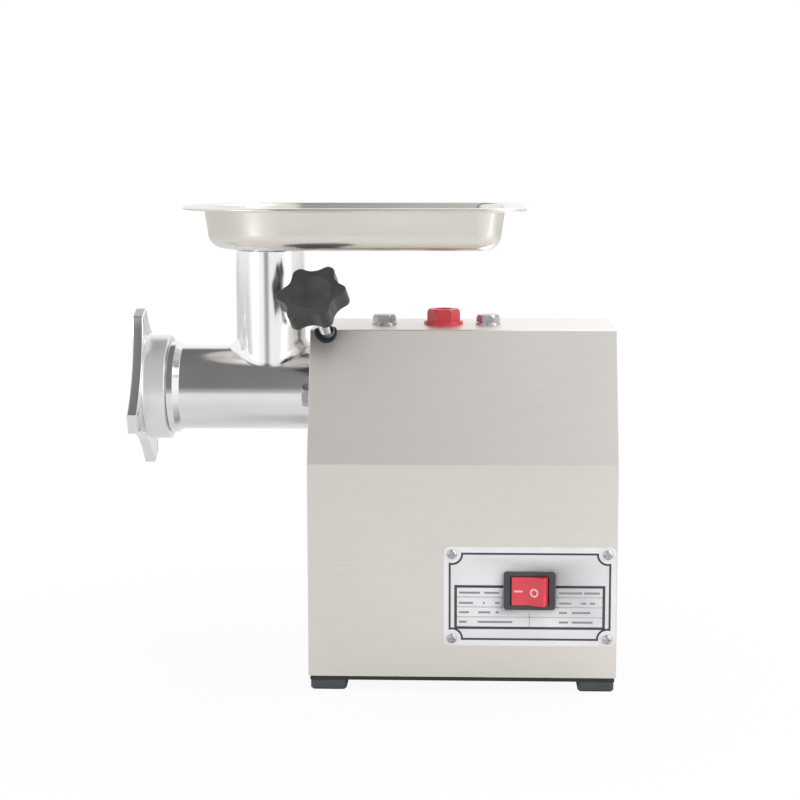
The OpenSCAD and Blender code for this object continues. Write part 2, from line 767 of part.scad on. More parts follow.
module driven_gear(x, z, teeth, mod, width, bore_d) {
    rim_r = teeth * mod / 2 - 3.2 * mod;
    hub_r = bore_d / 2 + 6;
    pocket = width / 3;
    translate([x, 0, z]) difference() {
        along_x(0, width) gear_outline(teeth, mod, upper_turn + 180 / teeth);
        bar_x(-cut, width + 2 * cut, bore_d);
        for (face = [-cut, width - pocket])
            rotate([0, 90, 0]) translate([0, 0, face]) rotate_extrude()
                translate([hub_r, 0]) square([rim_r - hub_r, pocket + cut]);
    }
}

module output_gear() {
    color(steel) driven_gear(coarse_x0, axis_z, output_teeth, coarse_module, coarse_w, front_bearing[0]);
}

module idler_gear() {
    color(steel) driven_gear(fine_x0, idler_z, idler_teeth, fine_module, fine_w, idler_seat_d);
}

idler_seat_d = 22;
drive_square = 16;
drive_depth = 24;
module output_shaft() {
    color(polished) difference() {
        union() {
            bar_x(shaft_x0, coarse_x0 + coarse_w - shaft_x0, front_bearing[0] - 2 * fit, 0, axis_z);
            bar_x(shaft_x0, cover_x0 + rear_bearing[2] - 4 - shaft_x0, rear_bearing[0] - 2 * fit, 0, axis_z);
        }
        translate([shaft_x0 - cut, 0, axis_z]) along_x(0, drive_depth + cut)
            square(drive_square + 2 * clear, center = true);
    }
}

module idler_shaft() {
    color(polished) {
        bar_x(chamber_x0 - idler_bearing[2], cover_x0 + 2 * idler_bearing[2] - 1.5 - chamber_x0,
              idler_bearing[0] - 2 * fit, 0, idler_z);
        bar_x(chamber_x0 + 2, fine_x0 + fine_w - chamber_x0 - 2, idler_seat_d - 2 * fit, 0, idler_z);
        translate([0, 0, idler_z])
            along_x(coarse_x0 - 1, coarse_w + 2) gear_outline(pinion_teeth, coarse_module, 0);
    }
}

module motor_shaft() {
    color(polished) {
        translate([0, 0, motor_z]) along_x(fine_x0 - 1, fine_w + 2) gear_outline(motor_teeth, fine_module, 0);
        bar_x(fine_x0, core_x1 + 8 - fine_x0, motor_bearing[0] - 2 * fit, 0, motor_z);
        bar_x(fine_x0, fan_x0 + fan_w - fine_x0, end_bearing[0] - 2 * fit, 0, motor_z);
    }
}

// Ball bearing with shields, its rings standing proud of them
module bearing(x, z, size) {
    bore_r = size[0] / 2;
    outer_r = size[1] / 2;
    ring_t = (outer_r - bore_r) * 0.28;
    width = size[2];
    turned_x(x, z, [[0, bore_r], [0, bore_r + ring_t], [0.5, bore_r + ring_t], [0.5, outer_r - ring_t],
                    [0, outer_r - ring_t], [0, outer_r], [width, outer_r], [width, outer_r - ring_t],
                    [width - 0.5, outer_r - ring_t], [width - 0.5, bore_r + ring_t],
                    [width, bore_r + ring_t], [width, bore_r]]);
}

module bearings() {
    color(steel) {
        bearing(front_bearing_x, axis_z, front_bearing);
        bearing(cover_x0 - 3, axis_z, rear_bearing);
        bearing(chamber_x0 - idler_bearing[2], idler_z, idler_bearing);
        bearing(cover_x0 - 1, idler_z, idler_bearing);
        bearing(cover_x0 + 2, motor_z, [motor_bearing[0], motor_bearing[1], cover_t - 2]);
        bearing(bell_x1 - bell_seat, motor_z, end_bearing);
    }
}

// Rubber seal: a flat back, an open side and a lip that bears on the shaft
module oil_seal() {
    shaft_r = front_bearing[0] / 2;
    lip_r = shaft_r + fit + 0.02;
    outer_r = seal_d / 2;
    color("#2c2c2e") turned_x(seal_x, axis_z, [[0, shaft_r + 0.5], [0, outer_r], [seal_t, outer_r],
        [seal_t, outer_r - 2.5], [1.5, outer_r - 2.5], [1.5, shaft_r + 2.5], [5, lip_r], [4, lip_r],
        [2.5, shaft_r + 0.5]]);
}

// ---- motor ----------------------------------------------------------------------------
stator_bore = 72;
core_over = 3;                                // how far the core runs into each end casting
motor_wall = 3;                               // end castings beyond the core, on the radius
winding_len = 13;
slots = 24;
motor_bolt_d = 5;
motor_bolt_r = core_d / 2 + 8;
bell_wall = 5;
bell_seat = end_bearing[2] + 2;               // how far the end bearing sits from the motor's end
module at_motor_bolts() {
    for (a = [45 : 90 : 315])
        translate([0, motor_bolt_r * cos(a), motor_z + motor_bolt_r * sin(a)]) children();
}

module stator_core() {
    color("#8d8f92") translate([0, 0, motor_z])
        along_x(core_x0 - core_over, core_len + 2 * core_over) difference() {
        circle(d = core_d - 0.2);
        circle(d = stator_bore);
        for (i = [0 : slots - 1]) rotate(i * 360 / slots) {
            translate([stator_bore / 2 - 1, -1.2]) square([3, 2.4]);
            polygon([[stator_bore / 2 + 1.5, -2.4], [stator_bore / 2 + 15, -4.2],
                     [stator_bore / 2 + 15, 4.2], [stator_bore / 2 + 1.5, 2.4]]);
        }
    }
}

module winding(x, length) {
    inner = stator_bore / 2 + 3;
    outer = stator_bore / 2 + 20;
    bevel = 3;
    turned_x(x, motor_z, [[0, inner + bevel], [bevel, inner], [length - bevel, inner], [length, inner + bevel],
        [length, outer - bevel], [length - bevel, outer], [bevel, outer], [0, outer - bevel]]);
}

module windings() {
    color(copper) {
        winding(core_x0 - core_over - winding_len, winding_len);
        winding(core_x1 + core_over, winding_len);
    }
}

module rotor() {
    core_r = stator_bore / 2 - air_gap;
    color(steel) difference() {
        union() {
            bar_x(core_x0 - core_over, core_len + 2 * core_over, 2 * core_r, 0, motor_z);
            bar_x(core_x0 - 8, core_len + 16, 2 * core_r - 4, 0, motor_z);
        }
        bar_x(core_x0 - 10, core_len + 20, motor_bearing[0] - 2 * fit, 0, motor_z);
        bar_x(core_x0 - 10, 7, 44, 0, motor_z);
        bar_x(core_x1 + 3, 8, 44, 0, motor_z);
    }
}

module motor_end_bell() {
    outer_r = core_d / 2 + motor_wall;
    seat_r = end_bearing[1] / 2;
    shaft_r = end_bearing[0] / 2 + 1;
    color(cast) difference() {
        union() {
            turned_x(core_x1, motor_z, [[0, core_d / 2], [0, outer_r], [bell_len - 10, outer_r],
                [bell_len, outer_r - 10], [bell_len, shaft_r], [bell_len - 2, shaft_r],
                [bell_len - 2, seat_r], [bell_len - bell_seat, seat_r],
                [bell_len - bell_seat, seat_r + bell_wall], [bell_len - bell_wall, seat_r + bell_wall],
                [bell_len - bell_wall, outer_r - 14], [bell_len - 13, outer_r - 7],
                [core_over, outer_r - 7], [core_over, core_d / 2]]);
            at_motor_bolts() bar_x(core_x1, 12, 12);
        }
        at_motor_bolts() bar_x(core_x1 - cut, 16, motor_bolt_d + bolt_play);
        translate([0, 0, motor_z]) along_x(bell_x1 - 6, 8)
            for (a = [0 : 30 : 330]) rotate(a) translate([40, 0]) slot(16, 6);
    }
}

module motor_bolts() {
    color(steel) at_motor_bolts() translate([core_x1 + 12, 0, 0]) rotate([0, 90, 0])
        hex_bolt(motor_bolt_d, 8, 3.5, core_len + 26);
}

module fan() {
    blades = 9;
    fan_d = 104;
    hub_d = 34;
    disc_t = 2;
    root_r = 14;
    color("#d8d6cf") translate([0, 0, motor_z]) difference() {
        union() {
            bar_x(fan_x0, fan_w, hub_d);
            bar_x(fan_x0, disc_t, fan_d);
            for (i = [0 : blades - 1])
                rotate([i * 360 / blades, 0, 0]) translate([fan_x0 + 1, -1, root_r])
                    cube([fan_w - 1, 2, fan_d / 2 - root_r]);
        }
        bar_x(fan_x0 - cut, fan_w + 2 * cut, end_bearing[0]);
    }
}

cap_d = 40;
cap_len = 74;
cap_y = half_w - 15 - cap_d / 2;
cap_z = base_z + tray_wall + 2 + cap_d / 2;
cap_back = 68;                                // from the body's head end
cap_x = body_x0 + cap_back;

module capacitor() {
    color("#d9d9d6") {
        bar_x(cap_x, cap_len, cap_d - 0.2, cap_y, cap_z);
        bar_x(cap_x + cap_len - 1, 3, cap_d - 6, cap_y, cap_z);
        for (s = [-1, 1])
            translate([cap_x + cap_len, cap_y + s * 8 - 3, cap_z - 0.4]) cube([11, 6.3, 0.8]);
    }
}

module capacitor_clip() {
    width = 14;
    ear_w = 12;
    ear_t = 1.5;
    saddle_w = 16;
    color(steel) translate([cap_x + (cap_len - width) / 2, cap_y, 0]) difference() {
        union() {
            bar_x(0, width, cap_d + 2.4, 0, cap_z);
            translate([0, -cap_d / 2 - ear_w, base_z + tray_wall]) cube([width, cap_d + 2 * ear_w, ear_t]);
            translate([0, -saddle_w / 2, base_z + tray_wall]) cube([width, saddle_w, 6]);
        }
        bar_x(-cut, width + 2 * cut, cap_d, 0, cap_z);
        translate([-cut, -cap_d, 0]) cube([width + 2 * cut, 2 * cap_d, base_z + tray_wall]);
        for (s = [-1, 1])
            translate([width / 2, s * (cap_d / 2 + ear_w / 2), base_z]) cylinder(h = 10, d = 4.3);
    }
}

block_x = body_x1 - 80;
block_y = half_w - 47;

module terminal_block() {
    ways = 3;
    pitch = 11;
    color("#e3ded2") translate([block_x, block_y, base_z + tray_wall]) difference() {
        union() {
            cube([ways * pitch, 18, 9]);
            for (i = [0 : ways - 1])
                translate([i * pitch + 1, 3, 0]) cube([pitch - 2, 12, 15]);
        }
        for (i = [0 : ways - 1]) {
            translate([(i + 0.5) * pitch, 9, 9]) cylinder(h = 10, d = 5);
            translate([(i + 0.5) * pitch, -cut, 5]) rotate([-90, 0, 0]) cylinder(h = 20, d = 4);
        }
    }
}

// Hollow gland for the power lead, with its nut inside the body
gland_bore = 8;
gland_cap = 6.9;
module cable_gland() {
    seat_t = 2;
    hex_h = 5;
    color(black) translate([gland_x, half_w, gland_z]) rotate([-90, 0, 0]) difference() {
        union() {
            translate([0, 0, -12]) cylinder(h = 20, d = gland_d - 0.4);
            cylinder(h = seat_t, d = gland_d * 1.5);
            translate([0, 0, seat_t]) hex_prism(gland_d + 4, hex_h);
            translate([0, 0, seat_t + hex_h]) cylinder(h = gland_cap, d1 = gland_d + 3, d2 = gland_d - 1);
            translate([0, 0, -sheet - hex_h]) hex_prism(gland_d + 5, hex_h);
        }
        translate([0, 0, -13]) cylinder(h = 40, d = gland_bore);
    }
}

// ---- head ------------------------------------------------------------------------------
collar_d = 86.5;
collar_len = 6;
flare_len = 5.5;
collar_x1 = spigot_x1 + collar_len;
flare_x1 = collar_x1 + flare_len;
bush_d = 34;
bush_len = 40;
tail_d = 24;

module feed_head() {
    color(polished) difference() {
        turned_x(0, axis_z, [[spigot_x0, 0], [spigot_x0, spigot_d / 2], [spigot_x1, spigot_d / 2],
            [spigot_x1, collar_d / 2], [collar_x1, collar_d / 2], [flare_x1, barrel_d / 2],
            [shoulder_x, barrel_d / 2], [shoulder_x, shank_d / 2], [shank_x - 1, shank_d / 2],
            [shank_x, shank_d / 2 - 1], [shank_x, 0]]);
        bar_x(spigot_x0 - cut, barrel_floor_x - spigot_x0 + cut, barrel_bore, 0, axis_z);
        bar_x(spigot_x0 - cut, plate_x1 - spigot_x0 + cut, plate_d + 2 * clear, 0, axis_z);
        bar_x(barrel_floor_x - cut, shank_x - barrel_floor_x + 2 * cut, bush_d, 0, axis_z);
        translate([tube_x, 0, axis_z]) cylinder(h = tube_top_z, d = tube_bore);
        at_plate_key() translate([-cut, 0, 0]) bar_x(0, plate_t + cut, key_d);
    }
}

// Upright tube, its foot saddled over the barrel
module feed_tube() {
    color(polished) translate([tube_x, 0, 0]) difference() {
        translate([0, 0, axis_z]) cylinder(h = tube_top_z - axis_z, d = tube_d);
        translate([0, 0, axis_z - cut]) cylinder(h = tube_top_z, d = tube_bore);
        bar_x(-tube_d, 2 * tube_d, barrel_d, 0, axis_z);
    }
}

key_d = 5;
module at_plate_key() {
    translate([spigot_x0, 0, axis_z - plate_d / 2 - clear + 0.6]) children();
}

module plate_key() {
    color(steel) at_plate_key() bar_x(0.2, plate_t - 0.4, key_d - 0.1);
}

module auger_bush() {
    color(brass) difference() {
        bar_x(barrel_floor_x, bush_len, bush_d, 0, axis_z);
        bar_x(barrel_floor_x - cut, bush_len + 2 * cut, tail_d + 2 * fit, 0, axis_z);
    }
}

// Helical flight: a rib that thins toward its edge, wound round the core
core_r0 = 11;
core_r1 = 17;
flight_x0 = knife_x1 + 2;
flight_x1 = barrel_floor_x - 4;
flight_steps = 24;
flight_root_r = core_r0 - 4;
flight_root = 10;
flight_edge = 4.5;
flight_count = floor((flight_x1 - flight_x0 - flight_root) / worm_pitch * flight_steps);

function flight_ring(i) =
    let (a = i * 360 / flight_steps,
         x = flight_x0 + flight_root / 2 + i * worm_pitch / flight_steps,
         section = [[flight_root_r, -flight_root / 2], [worm_d / 2, -flight_edge / 2],
                    [worm_d / 2, flight_edge / 2], [flight_root_r, flight_root / 2]])
    [for (p = section) [x + p[1], p[0] * cos(a), p[0] * sin(a)]];

module flight() {
    points = [for (i = [0 : flight_count]) each flight_ring(i)];
    last = flight_count * 4;
    faces = concat(
        [[3, 2, 1, 0], [last, last + 1, last + 2, last + 3]],
        [for (i = [0 : flight_count - 1], k = [0 : 3])
            let (a = i * 4 + k, b = i * 4 + (k + 1) % 4) [a, b, b + 4]],
        [for (i = [0 : flight_count - 1], k = [0 : 3])
            let (a = i * 4 + k, b = i * 4 + (k + 1) % 4) [a, b + 4, a + 4]]);
    translate([0, 0, axis_z]) polyhedron(points = points, faces = faces, convexity = 8);
}

pin_d = 12;
knife_square = 13;
module auger() {
    color(polished) {
        flight();
        turned_x(0, axis_z, [[knife_x1, 0], [knife_x1, core_r0], [flight_x0 + 20, core_r0],
            [flight_x1 - 30, core_r1], [flight_x1, core_r1], [flight_x1 + 1, tail_d / 2 + 3],
            [barrel_floor_x - 0.3, tail_d / 2 + 3], [barrel_floor_x - 0.3, tail_d / 2],
            [barrel_floor_x + bush_len + 4, tail_d / 2], [barrel_floor_x + bush_len + 4, 0]]);
        translate([0, 0, axis_z])
            along_x(barrel_floor_x + bush_len, shaft_x0 + drive_depth - 3 - barrel_floor_x - bush_len)
            square(drive_square, center = true);
        translate([0, 0, axis_z]) along_x(knife_x0 + 0.2, knife_t) square(knife_square, center = true);
        bar_x(plate_x0 + 1.5, knife_x0 - plate_x0, pin_d - 2 * fit - 0.06, 0, axis_z);
    }
}

module cutting_blade() {
    hub_d = 26;
    arm_r = barrel_bore / 2 - 1;
    color(steel) difference() {
        union() {
            bar_x(knife_x0, knife_t, hub_d, 0, axis_z);
            for (i = [0 : knife_arms - 1])
                rotate_about_axis(i * 360 / knife_arms) intersection() {
                    along_x(knife_x0, knife_t - 2)
                        polygon([[-6, 0], [7, 0], [5, arm_r + 1], [-5, arm_r + 1], [-3.5, arm_r * 0.7]]);
                    bar_x(knife_x0, knife_t, 2 * arm_r);
                }
        }
        translate([0, 0, axis_z]) along_x(knife_x0 - cut, knife_t + 2 * cut)
            square(knife_square + 0.2, center = true);
    }
}

module rotate_about_axis(turn) {
    translate([0, 0, axis_z]) rotate([turn, 0, 0]) children();
}

// Perforated plate: rings of holes round the middle bearing hole
hole_pitch = hole_d + 2.2;
hole_rings = floor((plate_d / 2 - 4.5 - hole_d / 2) / hole_pitch);
module cutting_plate() {
    color(steel) difference() {
        bar_x(plate_x0, plate_t, plate_d, 0, axis_z);
        bar_x(plate_x0 - cut, plate_t + 2 * cut, pin_d, 0, axis_z);
        rotate_about_axis(0) for (ring = [2 : hole_rings], i = [0 : 6 * ring - 1])
            rotate([i * 60 / ring, 0, 0])
                bar_x(plate_x0 - cut, plate_t + 2 * cut, hole_d, 0, ring * hole_pitch);
        at_plate_key() bar_x(-plate_t, 2 * plate_t, key_d + 2 * clear);
    }
}

// ---- locking ring -----------------------------------------------------------------------
waist_r = ring_d / 2 + 1.8;
lobe_h = lobe_w / 2;
scallop_far = (lobe_r * lobe_r + lobe_h * lobe_h - waist_r * waist_r)
    / (2 * ((lobe_r + lobe_h) / sqrt(2) - waist_r));

// Four lobes with flat ends, joined by long hollow curves
module lobed_outline() {
    difference() {
        polygon([for (i = [0 : 3], s = [-1, 1])
            let (a = i * 90) [lobe_r * cos(a) - s * lobe_h * sin(a), lobe_r * sin(a) + s * lobe_h * cos(a)]]);
        for (a = [45 : 90 : 315])
            rotate(a) translate([scallop_far, 0]) circle(r = scallop_far - waist_r, $fn = 128);
    }
}

module locking_ring() {
    bore = spigot_d + 2 * clear;
    lip_bore = plate_d - 9;
    color(polished) difference() {
        union() {
            bar_x(ring_x0, ring_len, ring_d, 0, axis_z);
            translate([0, 0, axis_z])
                along_x(ring_x0, flange_t) rotate(lobe_angle) rotate(90) lobed_outline();
        }
        bar_x(plate_x0 + 4, ring_len, bore, 0, axis_z);
        bar_x(plate_x0, 6, plate_d + 2 * clear, 0, axis_z);
        bar_x(ring_x0 - cut, ring_len, lip_bore, 0, axis_z);
    }
}

// ---- meat pan ------------------------------------------------------------------------------
pan_x = tube_x + pan_off;
pan_spigot_len = 24;
pan_spigot_d = tube_bore - 2 * clear;
bead_r = 1.5;

wall_round = 8;                               // far corners of the walls beyond those of the rim

// The tray's plan, drawn in by an even inset: round over the feed tube, squarer at the far end.
// Each corner is its middle's X and Y and its radius.
function plan_corners(inset, rounder = 0) =
    [for (s = [-1, 1], end = [[-1, pan_nose - inset], [1, pan_corner - inset + rounder]])
        [end[0] * (pan_len / 2 - inset - end[1]), s * (pan_w / 2 - inset - end[1]), end[1]]];

module pan_plan(inset) {
    corners = plan_corners(inset);
    half_l = pan_len / 2 - inset;
    half = pan_w / 2 - inset;
    translate([corners[0].x, -half]) square([corners[1].x - corners[0].x, 2 * half]);
    translate([-half_l, corners[0].y]) square([half_l, -2 * corners[0].y]);
    translate([0, corners[1].y]) square([half_l, -2 * corners[1].y]);
    for (c = corners)
        translate([c.x, c.y]) circle(r = c.z);
}

// Tapered tub with round corners and a round foot to its walls
module tub(shrink) {
    taper = 3;
    round_r = pan_fillet - shrink;
    hull() for (c = plan_corners(rim_w + shrink, wall_round))
        translate([c.x, c.y, 0]) {
            foot_r = max(c.z - taper - round_r, 0.1);
            translate([0, 0, pan_depth - 0.01]) cylinder(h = 0.01, r = c.z, $fn = 48);
            rotate_extrude($fn = 48) intersection() {
                translate([foot_r, round_r]) circle(r = round_r, $fn = 32);
                square([foot_r + round_r, round_r]);
            }
        }
}

module rim_bead() {
    level = pan_depth - bead_r;
    corners = plan_corners(bead_r);
    for (s = [-1, 1])
        translate([corners[0].x, s * (pan_w / 2 - bead_r), level]) rotate([0, 90, 0])
            cylinder(h = corners[1].x - corners[0].x, r = bead_r);
    for (i = [0, 1])
        translate([(2 * i - 1) * (pan_len / 2 - bead_r), corners[i].y, level]) rotate([-90, 0, 0])
            cylinder(h = -2 * corners[i].y, r = bead_r);
    for (c = corners)
        translate([c.x, c.y, level]) rotate(c.x > 0 ? (c.y > 0 ? 0 : -90) : (c.y > 0 ? 90 : 180))
            rotate_extrude(angle = 90) translate([c.z, 0]) circle(bead_r, $fn = 24);
}

module meat_tray() {
    floor_z = rim_z - pan_depth;
    color("#c9c6c0") translate([pan_x, 0, floor_z]) difference() {
        union() {
            tub(0);
            translate([0, 0, pan_depth - pan_t]) linear_extrude(height = pan_t) pan_plan(bead_r);
            rim_bead();
            translate([-pan_off, 0, -pan_spigot_len]) cylinder(h = pan_spigot_len + 4, d = pan_spigot_d);
        }
        translate([0, 0, pan_t]) tub(pan_t);
        translate([-pan_off, 0, -pan_spigot_len - cut]) cylinder(h = pan_depth, d = pan_spigot_d - 2 * pan_t);
    }
}

// Rolled edge all round the rim
// ---- clamp screw -----------------------------------------------------------------------------
stud_chamfer = 1.5;
stud_tip_len = 2;
stud_end = knob_reach - 6;                    // the stud ends inside the knob
stud_end_gap = 0.2;
stud_tip = (shank_d / 2 + clear) / cos(stud_lean) + (stud_d / 2 - stud_chamfer) * tan(stud_lean);
hub_h = 7;
knob_hub_d = 24;
knob_back = knob_reach - knob_t;

module clamp_stud() {
    color(steel) at_stud() {
        translate([0, 0, stud_tip + stud_tip_len])
            cylinder(h = stud_end - stud_tip - stud_tip_len, d = stud_d);
        translate([0, 0, stud_tip]) cylinder(h = stud_tip_len, d1 = stud_d - 2 * stud_chamfer, d2 = stud_d);
    }
}

// Star knob: hollow sides between round lobes, a dished face and a hub behind
module clamp_knob() {
    scallop_r = 18;
    waist = knob_d / 2 - 10;
    step = 360 / knob_lobes;
    dish_r = 40;
    dish_depth = 4;
    color(black) at_stud() rotate(knob_rest) difference() {
        union() {
            translate([0, 0, knob_back]) linear_extrude(height = knob_t) difference() {
                circle(d = knob_d, $fn = 96);
                for (i = [0 : knob_lobes - 1])
                    rotate((i + 0.5) * step)
                        translate([waist + scallop_r, 0]) circle(r = scallop_r, $fn = 64);
            }
            translate([0, 0, knob_back - hub_h]) cylinder(h = hub_h + cut, d = knob_hub_d);
        }
        translate([0, 0, knob_back - hub_h - cut])
            cylinder(h = stud_end - knob_back + hub_h + cut + stud_end_gap, d = stud_d + 2 * fit);
        translate([0, 0, knob_reach + dish_r - dish_depth]) sphere(r = dish_r);
    }
}

housing_shell();
front_panel();
rear_panel();
base_plate();
feet();
foot_screws();
panel_screws();
rating_plate();
plate_screws();
switch_body();
switch_rocker();
knob_grommet();
top_bolts();
top_washers();
front_bolts();
oil_plug();
gearbox_case();
gearbox_gasket();
gearbox_cover();
cover_screws();
bearings();
oil_seal();
output_shaft();
output_gear();
idler_shaft();
idler_gear();
motor_shaft();
rotor();
stator_core();
windings();
motor_end_bell();
motor_bolts();
fan();
capacitor();
capacitor_clip();
terminal_block();
cable_gland();
feed_head();
feed_tube();
auger();
auger_bush();
cutting_blade();
cutting_plate();
plate_key();
locking_ring();
meat_tray();
clamp_stud();
clamp_knob();
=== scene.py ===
"""Looks of a bench meat grinder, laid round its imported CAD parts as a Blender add-on."""

import json
import math

import bmesh
import bpy
import numpy as np
from mathutils import Matrix, Vector

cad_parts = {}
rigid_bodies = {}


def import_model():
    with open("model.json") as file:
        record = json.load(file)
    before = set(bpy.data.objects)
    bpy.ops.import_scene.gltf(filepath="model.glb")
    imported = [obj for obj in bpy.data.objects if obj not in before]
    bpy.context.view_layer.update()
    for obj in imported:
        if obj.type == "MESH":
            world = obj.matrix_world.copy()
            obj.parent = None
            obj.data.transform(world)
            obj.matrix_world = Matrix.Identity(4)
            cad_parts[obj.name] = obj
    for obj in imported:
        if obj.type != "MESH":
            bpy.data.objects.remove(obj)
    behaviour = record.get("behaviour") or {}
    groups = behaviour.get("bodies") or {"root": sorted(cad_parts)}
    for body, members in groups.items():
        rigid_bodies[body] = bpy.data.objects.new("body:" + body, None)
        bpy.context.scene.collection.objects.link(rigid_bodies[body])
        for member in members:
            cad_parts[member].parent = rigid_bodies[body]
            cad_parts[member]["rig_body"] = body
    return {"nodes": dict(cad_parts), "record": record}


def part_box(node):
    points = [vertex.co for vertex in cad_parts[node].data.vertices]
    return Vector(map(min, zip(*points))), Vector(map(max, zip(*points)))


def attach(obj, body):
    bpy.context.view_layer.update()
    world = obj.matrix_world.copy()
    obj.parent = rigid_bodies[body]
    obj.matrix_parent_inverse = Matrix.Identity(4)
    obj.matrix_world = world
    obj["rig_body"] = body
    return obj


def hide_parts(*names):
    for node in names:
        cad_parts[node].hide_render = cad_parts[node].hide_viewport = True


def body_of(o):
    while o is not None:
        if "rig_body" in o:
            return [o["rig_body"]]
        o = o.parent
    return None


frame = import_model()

bl_info = {
    "name": "Meat grinder looks",
    "version": (1, 0, 0),
    "blender": (4, 5, 0),
    "location": "3D View > Sidebar > Grinder",
    "description": "Builds the outer pieces, materials, light and camera of a bench meat grinder",
    "category": "Object",
}

MM = 0.001
GROMMET_HOLE_R = 8.1     # hole in the body's edge that the grommet sits in


# ---- places read from the CAD parts, in millimetres ----------------------------------------------
def corners(node):
    low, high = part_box(node)
    return np.array(low) / MM, np.array(high) / MM


def points_of(node):
    mesh = frame["nodes"][node].data
    co = np.zeros(len(mesh.vertices) * 3, np.float32)
    mesh.vertices.foreach_get("co", co)
    return co.reshape(-1, 3).astype(float) / MM


def body_outline():
    """Head-side x, rear x, half width, half top width, skirt height, crease height, top height."""
    low, high = corners("front_panel")
    rear = corners("rear_panel")[1][0]
    co = points_of("front_panel")
    crease = co[np.abs(co[:, 1]) > high[1] - 0.05][:, 2].max()
    half_top = np.abs(co[co[:, 2] > high[2] - 0.05][:, 1]).max()
    return low[0], rear, high[1], half_top, low[2], crease, high[2]


X0, X1, HALF_W, HALF_TOP, SKIRT_Z, CREASE_Z, TOP_Z = body_outline()
SHEET = corners("front_panel")[1][0] - X0
AXIS_Z = float(np.mean([c[2] for c in corners("cutting_plate")]))
TUBE_X = float(np.mean([c[0] for c in corners("feed_tube")]))


# ---- mesh building -------------------------------------------------------------------------------
def new_object(name, verts, faces, material, sharp=30.0):
    """Mesh object from points in millimetres, welded, facing outward and smooth but at sharp edges."""
    mesh = bpy.data.meshes.new(name)
    mesh.from_pydata([tuple(float(c) * MM for c in v) for v in verts], [], [tuple(f) for f in faces])
    made = bmesh.new()
    made.from_mesh(mesh)
    bmesh.ops.remove_doubles(made, verts=made.verts, dist=1e-6)
    bmesh.ops.dissolve_degenerate(made, edges=made.edges, dist=1e-7)
    bmesh.ops.recalc_face_normals(made, faces=made.faces)
    made.to_mesh(mesh)
    made.free()
    piece = bpy.data.objects.new(name, mesh)
    bpy.context.scene.collection.objects.link(piece)
    mesh.materials.append(material)
    even(piece, sharp)
    return piece


def smooth(piece, sharp=30.0):
    piece.data.shade_smooth()
    piece.data.set_sharp_from_angle(angle=math.radians(sharp))


def even(piece, sharp=30.0):
    """Smooth shading led by the largest faces, so that flats stay flat beside their roundings."""
    smooth(piece, sharp)
    change = piece.modifiers.new("even", "WEIGHTED_NORMAL")
    change.keep_sharp = True
    change.weight = 50
    bake(piece)


def bake(piece):
    """Makes a piece's modifiers part of its mesh."""
    bpy.context.view_layer.update()
    graph = bpy.context.evaluated_depsgraph_get()
    mesh = bpy.data.meshes.new_from_object(piece.evaluated_get(graph), preserve_all_data_layers=True,
                                           depsgraph=graph)
    piece.modifiers.clear()
    piece.data = mesh


def grid_faces(rows, columns, closed=True, start=0):
    """Quads joining rows of points, each row a loop unless closed is False."""
    faces = []
    last = columns if closed else columns - 1
    for r in range(rows - 1):
        for c in range(last):
            a = start + r * columns + c
            b = start + r * columns + (c + 1) % columns
            faces.append((a, b, b + columns, a + columns))
    return faces


def loft(rings, cap_first=False, cap_last=False):
    """Surface through loops of points that have the same count."""
    count = len(rings[0])
    verts = [p for ring in rings for p in ring]
    faces = grid_faces(len(rings), count)
    if cap_first:
        faces.append(tuple(range(count - 1, -1, -1)))
    if cap_last:
        start = (len(rings) - 1) * count
        faces.append(tuple(range(start, start + count)))
    return verts, faces


def closed_loft(rings):
    """Surface through loops of points that closes on its first loop."""
    return loft(list(rings) + [rings[0]])


def frame_of(origin, axis):
    """Turns points drawn round +Z into points round an axis through origin."""
    turn = Vector((0, 0, 1)).rotation_difference(Vector(axis))
    return Matrix.Translation(Vector(origin)) @ turn.to_matrix().to_4x4()


def placed(points, matrix):
    m = np.array(matrix)
    p = np.array(points, float)
    return p @ m[:3, :3].T + m[:3, 3]


def turned(profile, matrix, steps=128):
    """Solid of revolution from (distance along, radius) points, a radius of 0 closing an end."""
    rings = []
    for along, radius in profile:
        angles = np.arange(steps) * 2 * math.pi / steps
        ring = np.stack([radius * np.cos(angles), radius * np.sin(angles), np.full(steps, along)], 1)
        rings.append(placed(ring, matrix))
    verts, faces = loft(rings)
    return verts, faces


def rounded(profile, radius, steps=4):
    """Open profile with its inner corners rounded; radius is one value or one per point."""
    out = [profile[0]]
    for i in range(1, len(profile) - 1):
        r = radius[i] if hasattr(radius, "__len__") else radius
        out.extend(round_corner(profile[i - 1], profile[i], profile[i + 1], r, steps))
    out.append(profile[-1])
    return out


def round_corner(before, corner, after, radius, steps):
    """Arc that takes the place of one corner of a flat outline."""
    a, c, b = (np.array(p, float) for p in (before, corner, after))
    u, v = a - c, b - c
    lu, lv = np.linalg.norm(u), np.linalg.norm(v)
    if radius <= 0 or lu < 1e-6 or lv < 1e-6:
        return [tuple(c)]
    u, v = u / lu, v / lv
    half = math.acos(max(-1.0, min(1.0, float(u @ v)))) / 2
    if half > math.radians(89) or half < math.radians(1):
        return [tuple(c)]
    reach = min(radius / math.tan(half), 0.45 * lu, 0.45 * lv)
    r = reach * math.tan(half)
    middle = c + (u + v) / np.linalg.norm(u + v) * (r / math.sin(half))
    start, end = c + u * reach - middle, c + v * reach - middle
    total = math.acos(max(-1.0, min(1.0, float(start @ end) / (r * r))))
    arc = []
    for i in range(steps + 1):
        t = i / steps
        p = (math.sin((1 - t) * total) * start + math.sin(t * total) * end) / math.sin(total)
        arc.append(tuple(middle + p))
    return arc


def joined(*parts):
    """Several (points, faces) as one."""
    verts, faces = [], []
    for v, f in parts:
        faces.extend(tuple(i + len(verts) for i in face) for face in f)
        verts.extend(tuple(p) for p in v)
    return verts, faces


